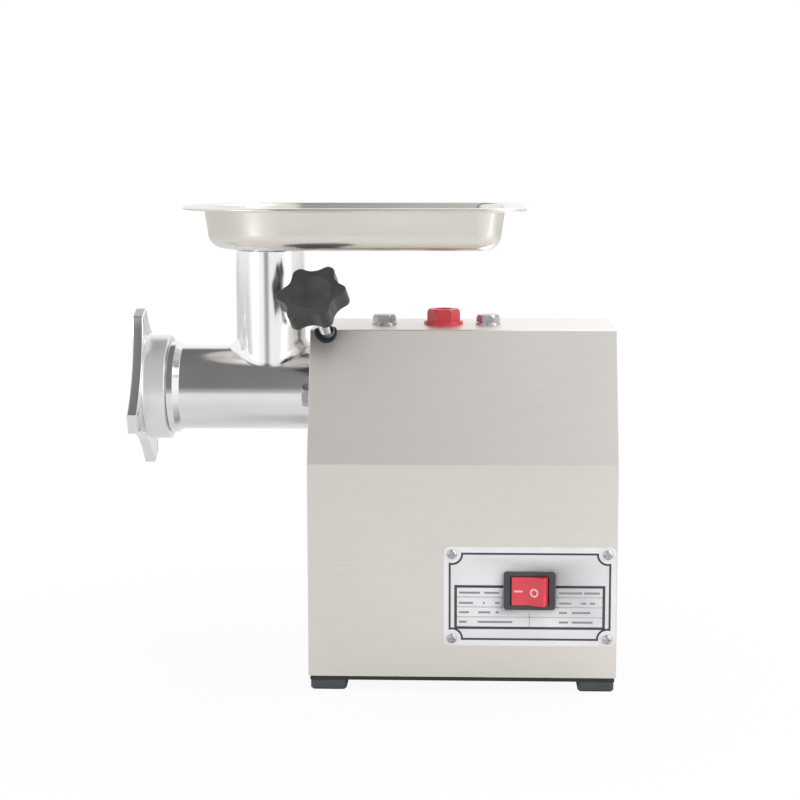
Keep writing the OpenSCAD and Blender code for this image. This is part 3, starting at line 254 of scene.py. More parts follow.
def cut_with(piece, tools, operation="DIFFERENCE"):
    """Applies exact booleans with other objects, which are then removed."""
    for tool in tools:
        change = piece.modifiers.new("cut", "BOOLEAN")
        change.operation = operation
        change.solver = "EXACT"
        change.object = tool
    bake(piece)
    for tool in tools:
        bpy.data.objects.remove(tool)


def tool_solid(verts, faces):
    return new_object("tool", verts, faces, bpy.data.materials.new("tool"))


def bar(origin, axis, length, radius, steps=64):
    """Round bar for cutting holes, from origin along axis."""
    matrix = frame_of(origin, axis)
    return tool_solid(*turned([(0, 0), (0, radius), (length, radius), (length, 0)], matrix, steps))


def edged_copy(node, name, material, bevel, segments=2, angle=32.0, sharp=35.0, keep=None):
    """Copy of a CAD part with its flat faces joined up and its edges rounded, as made parts have."""
    source = frame["nodes"][node]
    made = bmesh.new()
    made.from_mesh(source.data)
    bmesh.ops.remove_doubles(made, verts=made.verts, dist=2e-6)
    bmesh.ops.dissolve_limit(made, angle_limit=math.radians(1.0), verts=made.verts, edges=made.edges)
    edges = []
    for edge in made.edges:
        if len(edge.link_faces) == 2 and edge.calc_face_angle(0) > math.radians(angle):
            if keep is None or keep(edge):
                edges.append(edge)
    if bevel > 0 and edges:
        bmesh.ops.bevel(made, geom=edges, offset=bevel * MM, offset_type="OFFSET", segments=segments,
                        profile=0.5, affect="EDGES", clamp_overlap=True, loop_slide=True)
    mesh = bpy.data.meshes.new(name)
    made.to_mesh(mesh)
    made.free()
    piece = bpy.data.objects.new(name, mesh)
    bpy.context.scene.collection.objects.link(piece)
    mesh.materials.clear()
    mesh.materials.append(material)
    even(piece, sharp)
    return piece


def settle(piece, node):
    """Makes a piece ride with the CAD part it stands for."""
    nodes = [node] if isinstance(node, str) else list(node)
    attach(piece, body_of(frame["nodes"][nodes[0]])[0])
    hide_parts(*nodes)
    return piece


SLOTS = {row["node"]: row["material_slot"] for row in frame["record"]["subparts"]}


# ---- materials -----------------------------------------------------------------------------------
def shade(code):
    """Linear colour of an sRGB hex code."""
    parts = [int(code[i:i + 2], 16) / 255 for i in (1, 3, 5)]
    return tuple(c / 12.92 if c <= 0.04045 else ((c + 0.055) / 1.055) ** 2.4 for c in parts) + (1.0,)


def add(tree, kind, inputs=None, **settings):
    """Adds a node; inputs maps a socket's name or number to a value or to another node's output."""
    node = tree.nodes.new(kind)
    for key, value in settings.items():
        setattr(node, key, value)
    for key, value in (inputs or {}).items():
        if isinstance(value, bpy.types.NodeSocket):
            tree.links.new(value, node.inputs[key])
        else:
            node.inputs[key].default_value = value
    return node


def surface(name, metallic, roughness, **more):
    """New material with its Principled shader; more sets further shader inputs."""
    material = bpy.data.materials.new(name)
    material.use_nodes = True
    tree = material.node_tree
    tree.nodes.clear()
    inputs = {"Metallic": metallic, "Roughness": roughness}
    inputs.update({key.replace("_", " "): value for key, value in more.items()})
    shader = add(tree, "ShaderNodeBsdfPrincipled", inputs)
    out = add(tree, "ShaderNodeOutputMaterial")
    tree.links.new(shader.outputs["BSDF"], out.inputs["Surface"])
    return material, tree, shader


def noise(tree, size, stretch=(1, 1, 1), detail=2.0, roughness=0.5):
    """Noise whose features have a size in millimetres, drawn out along each axis by stretch."""
    place = add(tree, "ShaderNodeTexCoord").outputs["Object"]
    scale = [1 / (size * MM * s) for s in stretch]
    mapped = add(tree, "ShaderNodeMapping", {"Vector": place, "Scale": scale}).outputs["Vector"]
    return add(tree, "ShaderNodeTexNoise",
               {"Vector": mapped, "Scale": 1.0, "Detail": detail, "Roughness": roughness}).outputs["Fac"]


def spread(tree, value, low, high, out_low=0.0, out_high=1.0):
    return add(tree, "ShaderNodeMapRange", {"Value": value, "From Min": low, "From Max": high,
                                            "To Min": out_low, "To Max": out_high}).outputs["Result"]


def between(tree, factor, first, second):
    """Colour that runs from first to second, each a hex code or a socket."""
    a, b = (shade(c) if isinstance(c, str) else c for c in (first, second))
    return add(tree, "ShaderNodeMix", {0: factor, 6: a, 7: b}, data_type="RGBA").outputs[2]


def relief(tree, shader, layers):
    """Stacks bumps on a shader; each layer is (height, strength, depth in millimetres)."""
    normal = None
    for height, strength, depth in layers:
        inputs = {"Height": height, "Strength": strength, "Distance": depth * MM}
        if normal is not None:
            inputs["Normal"] = normal
        normal = add(tree, "ShaderNodeBump", inputs).outputs["Normal"]
    tree.links.new(normal, shader.inputs["Normal"])


def brushed(name, dark, light, roughness, grain, stretch, strength=0.12, depth=0.02, cloud=60.0):
    """Metal with fine drawn lines and a slow drift of tone."""
    material, tree, shader = surface(name, 1.0, roughness)
    lines = noise(tree, grain, stretch, 3.0, 0.65)
    slow = noise(tree, cloud, detail=1.0)
    mixed = add(tree, "ShaderNodeMath", {0: spread(tree, lines, 0.3, 0.7, 0, 0.55),
                                         1: spread(tree, slow, 0.3, 0.7, 0, 0.45)},
                operation="ADD").outputs[0]
    tree.links.new(between(tree, mixed, dark, light), shader.inputs["Base Color"])
    relief(tree, shader, [(lines, strength, depth)])
    return material


def moulded(name, dark, light, roughness, grain=0.7, strength=0.15, depth=0.03, **more):
    """Plastic, rubber or paint with a fine texture and a slow drift of tone."""
    material, tree, shader = surface(name, 0.0, roughness, **more)
    fine = noise(tree, grain, detail=3.0)
    slow = noise(tree, 18.0, detail=2.0)
    tree.links.new(between(tree, spread(tree, slow, 0.25, 0.75), dark, light), shader.inputs["Base Color"])
    relief(tree, shader, [(fine, strength, depth)])
    return material


def make_materials(colours):
    """Every finish by material slot, and the few that a slot's pieces share."""
    made = {}
    # Satin cold-rolled stainless sheet, brushed level: soft grey-beige sheen with faint lines along the body
    made["brushed_skin"] = brushed("Satin_brushed_stainless_sheet", colours.skin_dark, colours.skin_light,
                                   0.36, 0.5, (90, 1.4, 1.4), 0.05, 0.01, 140.0)
    # Powder-coated steel tray: near-black with a slight orange peel
    made["black_paint"] = moulded("Powder_coated_black_steel", "#232126", "#2e2c31", 0.45, 0.9, 0.3, 0.05,
                                  IOR=1.5)
    # Moulded nitrile feet: dull dark grey, lightened evenly all over, with a slow drift of tone
    made["foot_rubber"] = moulded("Moulded_grey_nitrile_rubber", "#46474b", "#515256", 0.7, 0.8, 0.4, 0.06,
                                  IOR=1.52)
    # Zinc-plated steel fasteners: cool light grey with turned marks
    made["zinc_steel"] = brushed("Zinc_plated_steel", "#a9abb0", "#cfd0d3", 0.26, 0.35, (1, 1, 1), 0.10, 0.01,
                                 9.0)
    # White anodised aluminium plate: clean cool white, slightly satin
    made["plate_paint"] = moulded("White_lacquered_aluminium", "#e9e9ec", "#f3f3f5", 0.38, 0.5, 0.05, 0.01,
                                  IOR=1.5)
    # Nickel-plated screws: warm bright grey
    made["nickel_screws"] = brushed("Nickel_plated_steel", "#a3a2a4", "#d3d2d2", 0.22, 0.3, (1, 1, 1), 0.10,
                                    0.01, 5.0)
    # Moulded nylon of the switch: dark grey with a fine spark texture
    made["black_plastic"] = moulded("Spark_textured_black_nylon", "#3b3b40", "#48484d", 0.42, 0.35, 0.25, 0.03,
                                    IOR=1.53)
    # Gloss polycarbonate rocker: clear red with a tight highlight
    made["red_plastic"] = moulded("Gloss_red_polycarbonate", "#dc2f41", "#e64453", 0.16, 1.5, 0.03, 0.01,
                                  IOR=1.58,
                                  Coat_Weight=0.3, Coat_Roughness=0.05)
    # Moulded rubber edge trim: black, dull
    made["black_rubber"] = moulded("Moulded_black_rubber", "#131315", "#1f1f22", 0.55, 0.5, 0.3, 0.03, IOR=1.52)
    # Red nylon plug: soft pinkish red, satin
    made["red_plug"] = moulded("Moulded_red_nylon", "#cc3542", "#dc4552", 0.28, 0.9, 0.10, 0.02, IOR=1.53)
    # Sand-cast aluminium: dull grey skin with a coarse grain
    made["cast_alloy"] = brushed("Sand_cast_aluminium", "#8f9195", "#b4b6b9", 0.5, 0.7, (1, 1, 1), 0.5, 0.12,
                                 20.0)
    # Pressed gasket paper: brown, fibrous, matt
    made["gasket_paper"] = moulded("Pressed_gasket_paper", "#4f4032", "#64523f", 0.85, 0.4, 0.4, 0.03, IOR=1.45)
    # Ground bearing steel: bright and mirror-like
    made["bearing_steel"] = brushed("Ground_bearing_steel", "#bcbdc1", "#d6d7da", 0.14, 0.3, (1, 1, 1), 0.05,
                                    0.01, 12.0)
    # Stacked core laminations: fine dark lines across the stack
    made["core_steel"] = laminated("Stacked_silicon_steel", "#6f7276", "#93969a", 0.42)
    # Enamelled copper windings: orange-brown with rounded strands
    made["copper_wire"] = brushed("Enamelled_copper_wire", "#8c4a24", "#c47a48", 0.3, 0.9, (6, 1, 1), 0.5, 0.2,
                                  14.0)
    # Moulded light plastic of the fan and the terminals: milky and satin
    made["white_plastic"] = moulded("Moulded_natural_nylon", "#cfccc2", "#e2dfd6", 0.4, 0.8, 0.1, 0.02,
                                    IOR=1.53,
                                    Subsurface_Weight=0.05)
    # Hobbed and ground gears: cool grey with fine machining lines
    made["gear_steel"] = brushed("Hobbed_alloy_steel", "#8e9094", "#b3b5b8", 0.25, 0.3, (1, 8, 8), 0.15, 0.02,
                                 16.0)
    # Polished cast aluminium of the head and ring: bright with slightly soft reflections
    made["polished_alloy"] = brushed("Polished_cast_aluminium", colours.alloy_dark, colours.alloy_light,
                                     0.15, 1.1, (1, 1, 1), 0.06, 0.02, 45.0)
    # Turned aluminium band of the ring: softer sheen than the buffed castings beside it
    made["turned_alloy"] = brushed("Fine_turned_aluminium", colours.alloy_dark, colours.alloy_light,
                                   0.34, 0.4, (8, 1, 1), 0.08, 0.02, 45.0)
    # Turned bronze bush: yellow-brown with fine turning rings
    made["bush_bronze"] = brushed("Turned_tin_bronze", "#9a7838", "#c9a45c", 0.24, 0.3, (1, 8, 8), 0.15, 0.02,
                                  10.0)
    # Hot-tinned cast iron of the screw: soft mottled grey
    made["tinned_iron"] = brushed("Hot_tinned_cast_iron", "#8d8f92", "#b9babd", 0.3, 1.6, (1, 1, 1), 0.3, 0.08,
                                  14.0)
    # Ground tool steel of knife and plate: straight grinding lines
    made["blade_steel"] = brushed("Ground_tool_steel", "#a4a6aa", "#cbccd0", 0.2, 0.25, (1, 1, 24), 0.12, 0.01,
                                  18.0)
    # Deep-drawn stainless of the pan: warm grey, satin, a little brighter than the body
    made["pan_steel"] = brushed("Deep_drawn_stainless", colours.pan_dark, colours.pan_light,
                                0.24, 0.5, (60, 1.5, 1.5), 0.05, 0.01, 90.0)
    # Phenolic star knob: charcoal, slightly glossy, with a flow texture
    made["knob_plastic"] = moulded("Moulded_charcoal_phenolic", "#2a2a2c", "#39393b", 0.34, 0.8, 0.15, 0.03,
                                   IOR=1.6)
    # Screen-printed dark ink on the plate
    made["ink"] = moulded("Screen_printed_dark_ink", "#3c3d48", "#4a4b56", 0.5, 0.3, 0.05, 0.005, IOR=1.5)
    # Grey print of the words, softened by the lacquer over it
    made["grey_ink"] = moulded("Screen_printed_grey_ink", "#8a8a92", "#96969d", 0.5, 0.3, 0.05, 0.005, IOR=1.5)
    # Pale grey print of the table's rules
    made["pale_ink"] = moulded("Screen_printed_pale_ink", "#b4b4ba", "#bebec4", 0.5, 0.3, 0.05, 0.005, IOR=1.5)
    # Faint grey printed ground inside the border
    made["field_ink"] = moulded("Screen_printed_field_ink", "#e2e2e6", "#e8e8eb", 0.42, 0.4, 0.05, 0.005,
                                IOR=1.5)
    # Pad-printed marks of the rocker, tinted by the red that shows through the thin ink
    made["white_ink"] = moulded("Pad_printed_white_ink", "#f3bfc2", "#f8caca", 0.45, 0.3, 0.05, 0.005, IOR=1.5)
    return made


def laminated(name, dark, light, roughness):
    """Thin sheets stacked along X, seen as fine lines across the stack."""
    material, tree, shader = surface(name, 1.0, roughness)
    place = add(tree, "ShaderNodeTexCoord").outputs["Object"]
    waves = add(tree, "ShaderNodeTexWave", {"Vector": place, "Scale": 0.5 / (0.8 * MM) / 10, "Distortion": 0.2},
                wave_type="BANDS", bands_direction="X").outputs["Fac"]
    tree.links.new(between(tree, waves, dark, light), shader.inputs["Base Color"])
    relief(tree, shader, [(waves, 0.4, 0.1)])
    return material


# ---- sizes and colours a user would change -------------------------------------------------------
def length(name, note, millimetres, low=0.0, high=1000.0):
    return bpy.props.FloatProperty(name=name, description=note, default=millimetres * MM, min=low * MM,
                                   max=high * MM, unit="LENGTH", precision=5)


class GrinderSizes(bpy.types.PropertyGroup):
    """Roundings and details of the pieces; the places come from the CAD parts."""

    bend: length("Bend radius", "Outer radius of the folds in the body's sheet", 2.4, 1, 6)
    fillet: length("Tube fillet", "Radius between the feed tube and the barrel", 10, 2, 14)
    ring_edge: length("Ring edge", "Rounding of the locking ring's edges", 1.2, 0.3, 3)
    knob_edge: length("Knob edge", "Rounding of the star knob's edges", 1.1, 0.3, 3)
    pan_bead: length("Pan bead", "Radius of the rolled edge round the pan", 1.5, 1, 2)
    pan_corner: length("Pan corner", "Plan radius of the pan's rim", 38, 20, 60)
    pan_nose: length("Pan nose", "Plan radius of the pan's round end", 104, 60, 108)
    pan_fillet: length("Pan fillet", "Radius between the pan's walls and floor", 15, 8, 20)
    pan_rim: length("Pan rim", "Width of the pan's flat rim", 20, 10, 30)
    print_line: length("Print line", "Width of the printed border", 1.9, 0.3, 3)
    table_length: length("Table length", "Length of the ruled table on the plate", 134.2, 100, 140)
    scoop: length("Scoop", "Radius of the border's scooped corners", 9.2, 6, 14)
    rocker_height: length("Rocker height", "Height of the switch's rocker", 26, 20, 36)
    bezel_edge: length("Bezel edge", "Rounding of the switch bezel's outer edge", 1.4, 0.4, 2.2)


class GrinderFinish(bpy.types.PropertyGroup):
    """Colours as sRGB hex codes."""

    skin_dark: bpy.props.StringProperty(name="Body, darker", description="Darker tone of the body's sheet",
                                        default="#e6e2dd")
    skin_light: bpy.props.StringProperty(name="Body, lighter", description="Lighter tone of the body's sheet",
                                         default="#efebe6")
    alloy_dark: bpy.props.StringProperty(name="Head, darker", description="Darker tone of the polished head",
                                         default="#eeeff1")
    alloy_light: bpy.props.StringProperty(name="Head, lighter", description="Lighter tone of the polished head",
                                          default="#f8f8f9")
    pan_dark: bpy.props.StringProperty(name="Pan, darker", description="Darker tone of the pan",
                                       default="#e6e1db")
    pan_light: bpy.props.StringProperty(name="Pan, lighter", description="Lighter tone of the pan",
                                        default="#f0ece7")


class GrinderStage(bpy.types.PropertyGroup):
    """Light, floor and camera."""

    sky: bpy.props.FloatProperty(name="Sky", description="Brightness of the white surround seen in the metal",
                                 default=1.0, min=0, max=2)
    dim_front: bpy.props.FloatProperty(name="Dim front",
                                       description="Brightness of the dark strip in front of the head",
                                       default=0.15, min=0, max=1)
    dim_low: bpy.props.FloatProperty(name="Dim low",
                                     description="Brightness of the same part below the horizon", default=0.42,
                                     min=0, max=1)
    left: bpy.props.FloatProperty(name="Left softbox", description="Power of the low softbox on the left",
                                  default=2.0, min=0)
    front_low: bpy.props.FloatProperty(name="Front low",
                                       description="Brightness of the surround in front at the horizon",
                                       default=0.95, min=0, max=1)
    front_high: bpy.props.FloatProperty(name="Front high",
                                        description="Brightness of the surround in front higher up",
                                        default=0.9, min=0, max=1)
    key: bpy.props.FloatProperty(name="Key lamp", description="Power of the big soft lamp in watts",
                                 default=13.0, min=0, max=500)
    rear: bpy.props.FloatProperty(name="Rear lamp", description="Power of the small softbox behind in watts",
                                  default=6, min=0, max=500)
    side: bpy.props.FloatProperty(name="Side lamp", description="Power of the softbox at the right in watts",
                                  default=4, min=0, max=500)
    floor: bpy.props.StringProperty(name="Floor", description="Floor colour as an sRGB hex code",
                                    default="#dededc")


def sizes():
    return bpy.context.scene.grinder_sizes


def finish(slot):
    return MATERIALS[slot]


MATERIALS = {}


class PieceOperator:
    """What every operator of the add-on shares."""

    bl_options = {"REGISTER", "UNDO"}

    def execute(self, context):
        self.build(context)
        return {"FINISHED"}


# ---- body ----------------------------------------------------------------------------------------
def body_path(grow=0.0):
    """Outer outline of the body across X, from the switch-side skirt over the top, with its folds rounded."""
    bend = sizes().bend / MM
    path = [(-HALF_W, SKIRT_Z), (-HALF_W, CREASE_Z), (-HALF_TOP, TOP_Z),
            (HALF_TOP, TOP_Z), (HALF_W, CREASE_Z), (HALF_W, SKIRT_Z)]
    return moved_in(rounded(path, bend, 6), -grow)


def moved_in(path, distance):
    """An open path moved to its right-hand side."""
    p = np.array(path, float)
    step = np.diff(p, axis=0)
    step /= np.linalg.norm(step, axis=1)[:, None]
    before = np.vstack([step[:1], step])
    after = np.vstack([step, step[-1:]])
    normal = np.stack([before[:, 1] + after[:, 1], -before[:, 0] - after[:, 0]], 1)
    normal /= np.linalg.norm(normal, axis=1)[:, None]
    lean = np.einsum("ij,ij->i", normal, np.stack([after[:, 1], -after[:, 0]], 1))
    return [tuple(q) for q in p + normal * (distance / lean)[:, None]]


def across(path, x):
    return [(x, y, z) for y, z in path]


class GRINDER_OT_skin(PieceOperator, bpy.types.Operator):
    """Folded stainless sheet that wraps the body, with its cut-outs"""

    bl_idname = "grinder.skin"
    bl_label = "Body skin"

    def build(self, context):
        outer = body_path()
        inner = moved_in(outer, SHEET)
        loop = outer + inner[::-1]
        ends = (X0 + SHEET, X1 - SHEET)
        verts, faces = loft([across(loop, x) for x in ends])
        count, half = len(loop), len(outer)
        for start in (0, count):
            for i in range(half - 1):
                a, b = start + i, start + i + 1
                c, d = start + count - 2 - i, start + count - 1 - i
                faces.append((a, b, c, d))
        skin = new_object("body_skin", verts, faces, finish("brushed_skin"))
        tools = []
        for washer in solids("top_washers"):
            tools.append(bar((washer[0], washer[1], TOP_Z - 5), (0, 0, 1), 10, 6.5))
        plug = centre("oil_plug")
        tools.append(bar((plug[0], plug[1], TOP_Z - 5), (0, 0, 1), 10, 10.5))
        start, along = stud_line()
        tools.append(bar(start, along, 160, GROMMET_HOLE_R))
        low, high = corners("switch_body")
        tools.append(block((low[0] + 3, low[1] - 10, low[2] + 3), (high[0] - 3, -HALF_W + 10, high[2] - 3)))
        gland = centre("cable_gland")
        tools.append(bar((gland[0], HALF_W - 10, gland[2]), (0, 1, 0), 20, 8))
        cut_with(skin, tools)
        even(skin)
        settle(skin, "housing_shell")


def centre(node):
    low, high = corners(node)
    return (low + high) / 2


def solids(node):
    """Middles of the separate solids of a CAD part."""
    mesh = frame["nodes"][node].data
    made = bmesh.new()
    made.from_mesh(mesh)
    bmesh.ops.remove_doubles(made, verts=made.verts, dist=2e-6)
    found, left = [], set(made.verts)
    while left:
        group, queue = [], [left.pop()]
        while queue:
            vert = queue.pop()
            group.append(vert)
            for edge in vert.link_edges:
                other = edge.other_vert(vert)
                if other in left:
                    left.remove(other)
                    queue.append(other)
        co = np.array([v.co for v in group]) / MM
        found.append((co.min(0) + co.max(0)) / 2)
    made.free()
    return found


def block(low, high):
    (x0, y0, z0), (x1, y1, z1) = low, high
    rings = [[(x0, y0, z), (x1, y0, z), (x1, y1, z), (x0, y1, z)] for z in (z0, z1)]
    return tool_solid(*loft(rings, True, True))


def stud_line():
    """A point on the screw's axis and the direction of the clamp screw, from its CAD part."""
    co = points_of("clamp_stud")
    middle = co.mean(0)
    along = np.linalg.svd(co - middle)[2][0]
    if along[2] < 0:
        along = -along
    ends = (co - middle) @ along
    radial = (co - middle) - np.outer(ends, along)
    reach = np.linalg.norm(radial, axis=1)
    rim = co[reach > reach.max() - 0.1]
    middle = (rim.min(0) + rim.max(0)) / 2
    start = middle - along * middle[1] / along[1]
    return start, along


class GRINDER_OT_panels(PieceOperator, bpy.types.Operator):
    """Flat panels that close the two ends of the body"""

    bl_idname = "grinder.panels"
    bl_label = "End panels"

    def build(self, context):
        outline = body_path()
        edge = 0.35
        for node, name, x, side in (("front_panel", "head_side_panel", X0, 1),
                                    ("rear_panel", "rear_side_panel", X1, -1)):
            inset = closed_inset(outline, edge)
            rings = [across(inset, x), across(outline, x + side * edge), across(outline, x + side * SHEET)]
            panel = new_object(name, *loft(rings, True, True), finish("brushed_skin"))
            cut_with(panel, self.openings(node))
            even(panel)
            settle(panel, node)

    def openings(self, node):
        tools = []
        low, high = corners(node)
        for screw in solids("panel_screws"):
            if low[0] - 8 < screw[0] < high[0] + 8:
                tools.append(bar((low[0] - 5, screw[1], screw[2]), (1, 0, 0), 12, 1.9, 24))
        if node == "front_panel":
            tools.append(bar((low[0] - 5, 0, AXIS_Z), (1, 0, 0), 12, 41.8, 128))
            for bolt in solids("front_bolts"):
                tools.append(bar((low[0] - 5, bolt[1], bolt[2]), (1, 0, 0), 12, 6.5, 32))
        else:
            for y, z in vent_places():
                tools.append(slot_tool(high[0] - 6, y, z, 62, 4))
        return tools


def vent_places():
    """Middles of the rear panel's slots, read from the CAD part."""
    co = points_of("rear_panel")
    inside = co[(np.abs(co[:, 1]) < 70) & (co[:, 2] > 60) & (co[:, 2] < TOP_Z - 60)]
    rows = sorted({round(z, 1) for z in inside[:, 2]})
    groups, current = [], [rows[0]]
    for z in rows[1:]:
        if z - current[0] > 6:
            groups.append(sum((current[0], current[-1])) / 2)
            current = [z]
        else:
            current.append(z)
    groups.append((current[0] + current[-1]) / 2)
    return [(s * 37, z) for z in groups for s in (-1, 1)]


def slot_tool(x, y, z, long, wide):
    rings = []
    for dx in (0, 12):
        ring = []
        for s in (1, -1):
            for i in range(13):
                a = math.radians(-90 + 180 * i / 12) + (0 if s > 0 else math.pi)
                ring.append((x + dx, y + s * (long - wide) / 2 + wide / 2 * math.cos(a),
                             z + wide / 2 * math.sin(a)))
        rings.append(ring)
    return tool_solid(*loft(rings, True, True))


def closed_inset(path, distance):
    """A closed outline, given clockwise, moved inward."""
    closed = [path[-1]] + list(path) + [path[0]]
    return moved_in(closed, distance)[1:-1]


class GRINDER_OT_base(PieceOperator, bpy.types.Operator):
    """Base tray, rubber feet and the screws that hold them"""

    bl_idname = "grinder.base"
    bl_label = "Base and feet"

    def build(self, context):
        for node, name, bevel in (("base_plate", "base_tray", 0.5), ("feet", "rubber_feet", 1.0),
                                  ("foot_screws", "foot_fixings", 0.2),
                                  ("panel_screws", "end_panel_screws", 0.2)):
            settle(edged_copy(node, name, finish(SLOTS[node]), bevel), node)


class GRINDER_OT_fittings(PieceOperator, bpy.types.Operator):
    """Hexagon bolts, washers, oil plug, grommet and cable gland"""

    bl_idname = "grinder.fittings"
    bl_label = "Fittings"

    def build(self, context):
        for node, name, bevel in (("top_washers", "flat_washers", 0.25), ("top_bolts", "unit_bolts", 0.35),
                                  ("front_bolts", "head_side_bolts", 0.35),
                                  ("oil_plug", "oil_filler_plug", 0.7),
                                  ("cable_gland", "lead_gland", 0.4)):
            settle(edged_copy(node, name, finish(SLOTS[node]), bevel, 3), node)
        settle(new_object("edge_grommet", *self.edging(), finish(SLOTS["knob_grommet"])), "knob_grommet")

    def edging(self, count=96):
        """Rubber lip that follows the folded sheet round the clamp screw's hole."""
        start, along = stud_line()
        co = points_of("knob_grommet") - start
        reach = np.linalg.norm(co - np.outer(co @ along, along), axis=1)
        inner, outer = reach.min(), reach.max()
        matrix = np.array(frame_of(start, along))
        slope = np.array((0, TOP_Z - CREASE_Z, HALF_TOP - HALF_W)) / -math.hypot(TOP_Z - CREASE_Z,
                                                                                 HALF_W - HALF_TOP)
        fold = np.array((0, -HALF_TOP, TOP_Z))
        section = [(inner, -2), (inner, 0.5), (inner + 0.4, 1), (outer - 0.5, 1), (outer, 0.5), (outer, -2)]
        rings = []
        for radius, lift in section:
            ring = []
            for a in np.arange(count) * 2 * math.pi / count:
                side = matrix[:3, 0] * math.cos(a) + matrix[:3, 1] * math.sin(a)
                middle = start + side * (inner + outer) / 2
                skin = min((fold - middle) @ n / (along @ n) for n in (slope, np.array((0, 0, 1.0))))
                ring.append(tuple(start + side * radius + along * (skin + lift)))
            rings.append(ring)
        return closed_loft(rings)


# ---- rating plate and switch ---------------------------------------------------------------------
PRINT_T = 0.05


def stroke(path, width, y, thick=PRINT_T):
    """Flat printed line along an X-Z path on the switch side, standing out from y."""
    left = moved_in(path, -width / 2)
    right = moved_in(path, width / 2)
    loop = left + right[::-1]
    front = [(x, y - thick, z) for x, z in loop]
    back = [(x, y, z) for x, z in loop]
    verts, faces = loft([back, front])
    count, half = len(loop), len(left)
    for start in (0, count):
        for i in range(half - 1):
            faces.append((start + i, start + i + 1, start + count - 2 - i, start + count - 1 - i))
    return verts, faces


def closed_stroke(path, width, y, thick=PRINT_T):
    """The same for a path that ends where it starts."""
    left = closed_inset(path, -width / 2)
    right = closed_inset(path, width / 2)
    rings = [[(x, yy, z) for x, z in line] for line, yy in
             ((left, y), (left, y - thick), (right, y - thick), (right, y))]
    return closed_loft(rings)


class GRINDER_OT_plate(PieceOperator, bpy.types.Operator):
    """Rating plate with its printed border, ruled table and plain bars for the words"""

    bl_idname = "grinder.plate"
    bl_label = "Rating plate"

    def build(self, context):
        settle(edged_copy("rating_plate", "lacquered_plate", finish("plate_paint"), 0.12), "rating_plate")
        settle(edged_copy("plate_screws", "plate_fixings", finish("nickel_screws"), 0.25), "plate_screws")
        low, high = corners("rating_plate")
        self.mid, self.face = (low + high) / 2, low[1]
        line = sizes().print_line / MM
        border = self.border()
        self.printed("plate_field", [self.filled(border)], "field_ink")
        half_long, top, foot = sizes().table_length / MM / 2, 9.3, -29.1
        table = [self.at(dx, dz) for dx, dz in ((-half_long, foot), (-half_long, top), (half_long, top),
                                                (half_long, foot))]
        self.printed("plate_lines", [closed_stroke(border, line, self.face),
                                     closed_stroke(table, 1.3 * line, self.face)], "ink")
        rules = [[self.at(-half_long, z), self.at(half_long, z)] for z in (-0.5, -9.7, -19.0)]
        rules.append([self.at(0, foot), self.at(0, -14.0)])
        self.printed("plate_rules", [stroke(path, 0.9, self.face, 0.04) for path in rules], "pale_ink")
        words = [stroke([self.at(a, z), self.at(b, z)], 1.9, self.face) for z, row in WORDS for a, b in row]
        self.printed("plate_words", words, "grey_ink")

    def at(self, dx, dz):
        return self.mid[0] + dx, self.mid[2] + dz

    def printed(self, name, parts, ink):
        piece = new_object(name, *joined(*parts), finish(ink))
        low, high = corners("switch_body")
        cut_with(piece, [block((low[0] - 0.2, low[1] - 5, low[2] - 0.2),
                               (high[0] + 0.2, low[1] + 20, high[2] + 0.2))])
        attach(piece, "root")

    def filled(self, path):
        """Thin printed field inside a closed path."""
        return loft([[(x, y, z) for x, z in path] for y in (self.face, self.face - 0.02)], True, True)

    def border(self):
        """Clockwise rectangle whose corners are scooped out round the screws."""
        screws = points_of("plate_screws")
        far = screws.max(0) - self.mid
        head = screws[screws[:, 0] > self.mid[0]]
        head = head[head[:, 2] > self.mid[2]]
        screw = far - (head.max(0) - head.min(0)) / 2
        half_long, half_high, scoop = screw[0] + 2.0, screw[2] + 0.45, sizes().scoop / MM
        over = [math.degrees(math.asin((half_long - screw[0]) / scoop)),
                math.degrees(math.asin((half_high - screw[2]) / scoop))]
        path = []
        for i, (sx, sz, start) in enumerate(((-1, 1, -90), (1, 1, 180), (1, -1, 90), (-1, -1, 0))):
            first, last = (over[0], over[1]) if i % 2 == 0 else (over[1], over[0])
            for a in np.radians(np.linspace(start - first, start + 90 + last, 15)):
                path.append(self.at(sx * screw[0] + scoop * math.cos(a), sz * screw[2] + scoop * math.sin(a)))
        return path


# Height of each row of words from the plate's middle, and where each word's bar starts and ends
WORDS = [(3.5, [(-64, -45), (-41.3, -27.6), (26.6, 47.6), (49.2, 63.4)]),
         (-6.0, [(-64, -51.3), (-42.4, -40.8), (-31.3, -27.1), (26.6, 37.6), (46.6, 51.3), (54.5, 59.2)]),
         (-14.7, [(-64, -55), (-46.6, -35.5), (-30.8, -27.6), (26.6, 34), (38.2, 55)]),
         (-23.6, [(-64, -57.1), (-47.1, -15.5), (26.6, 35), (38.2, 57.1)])]


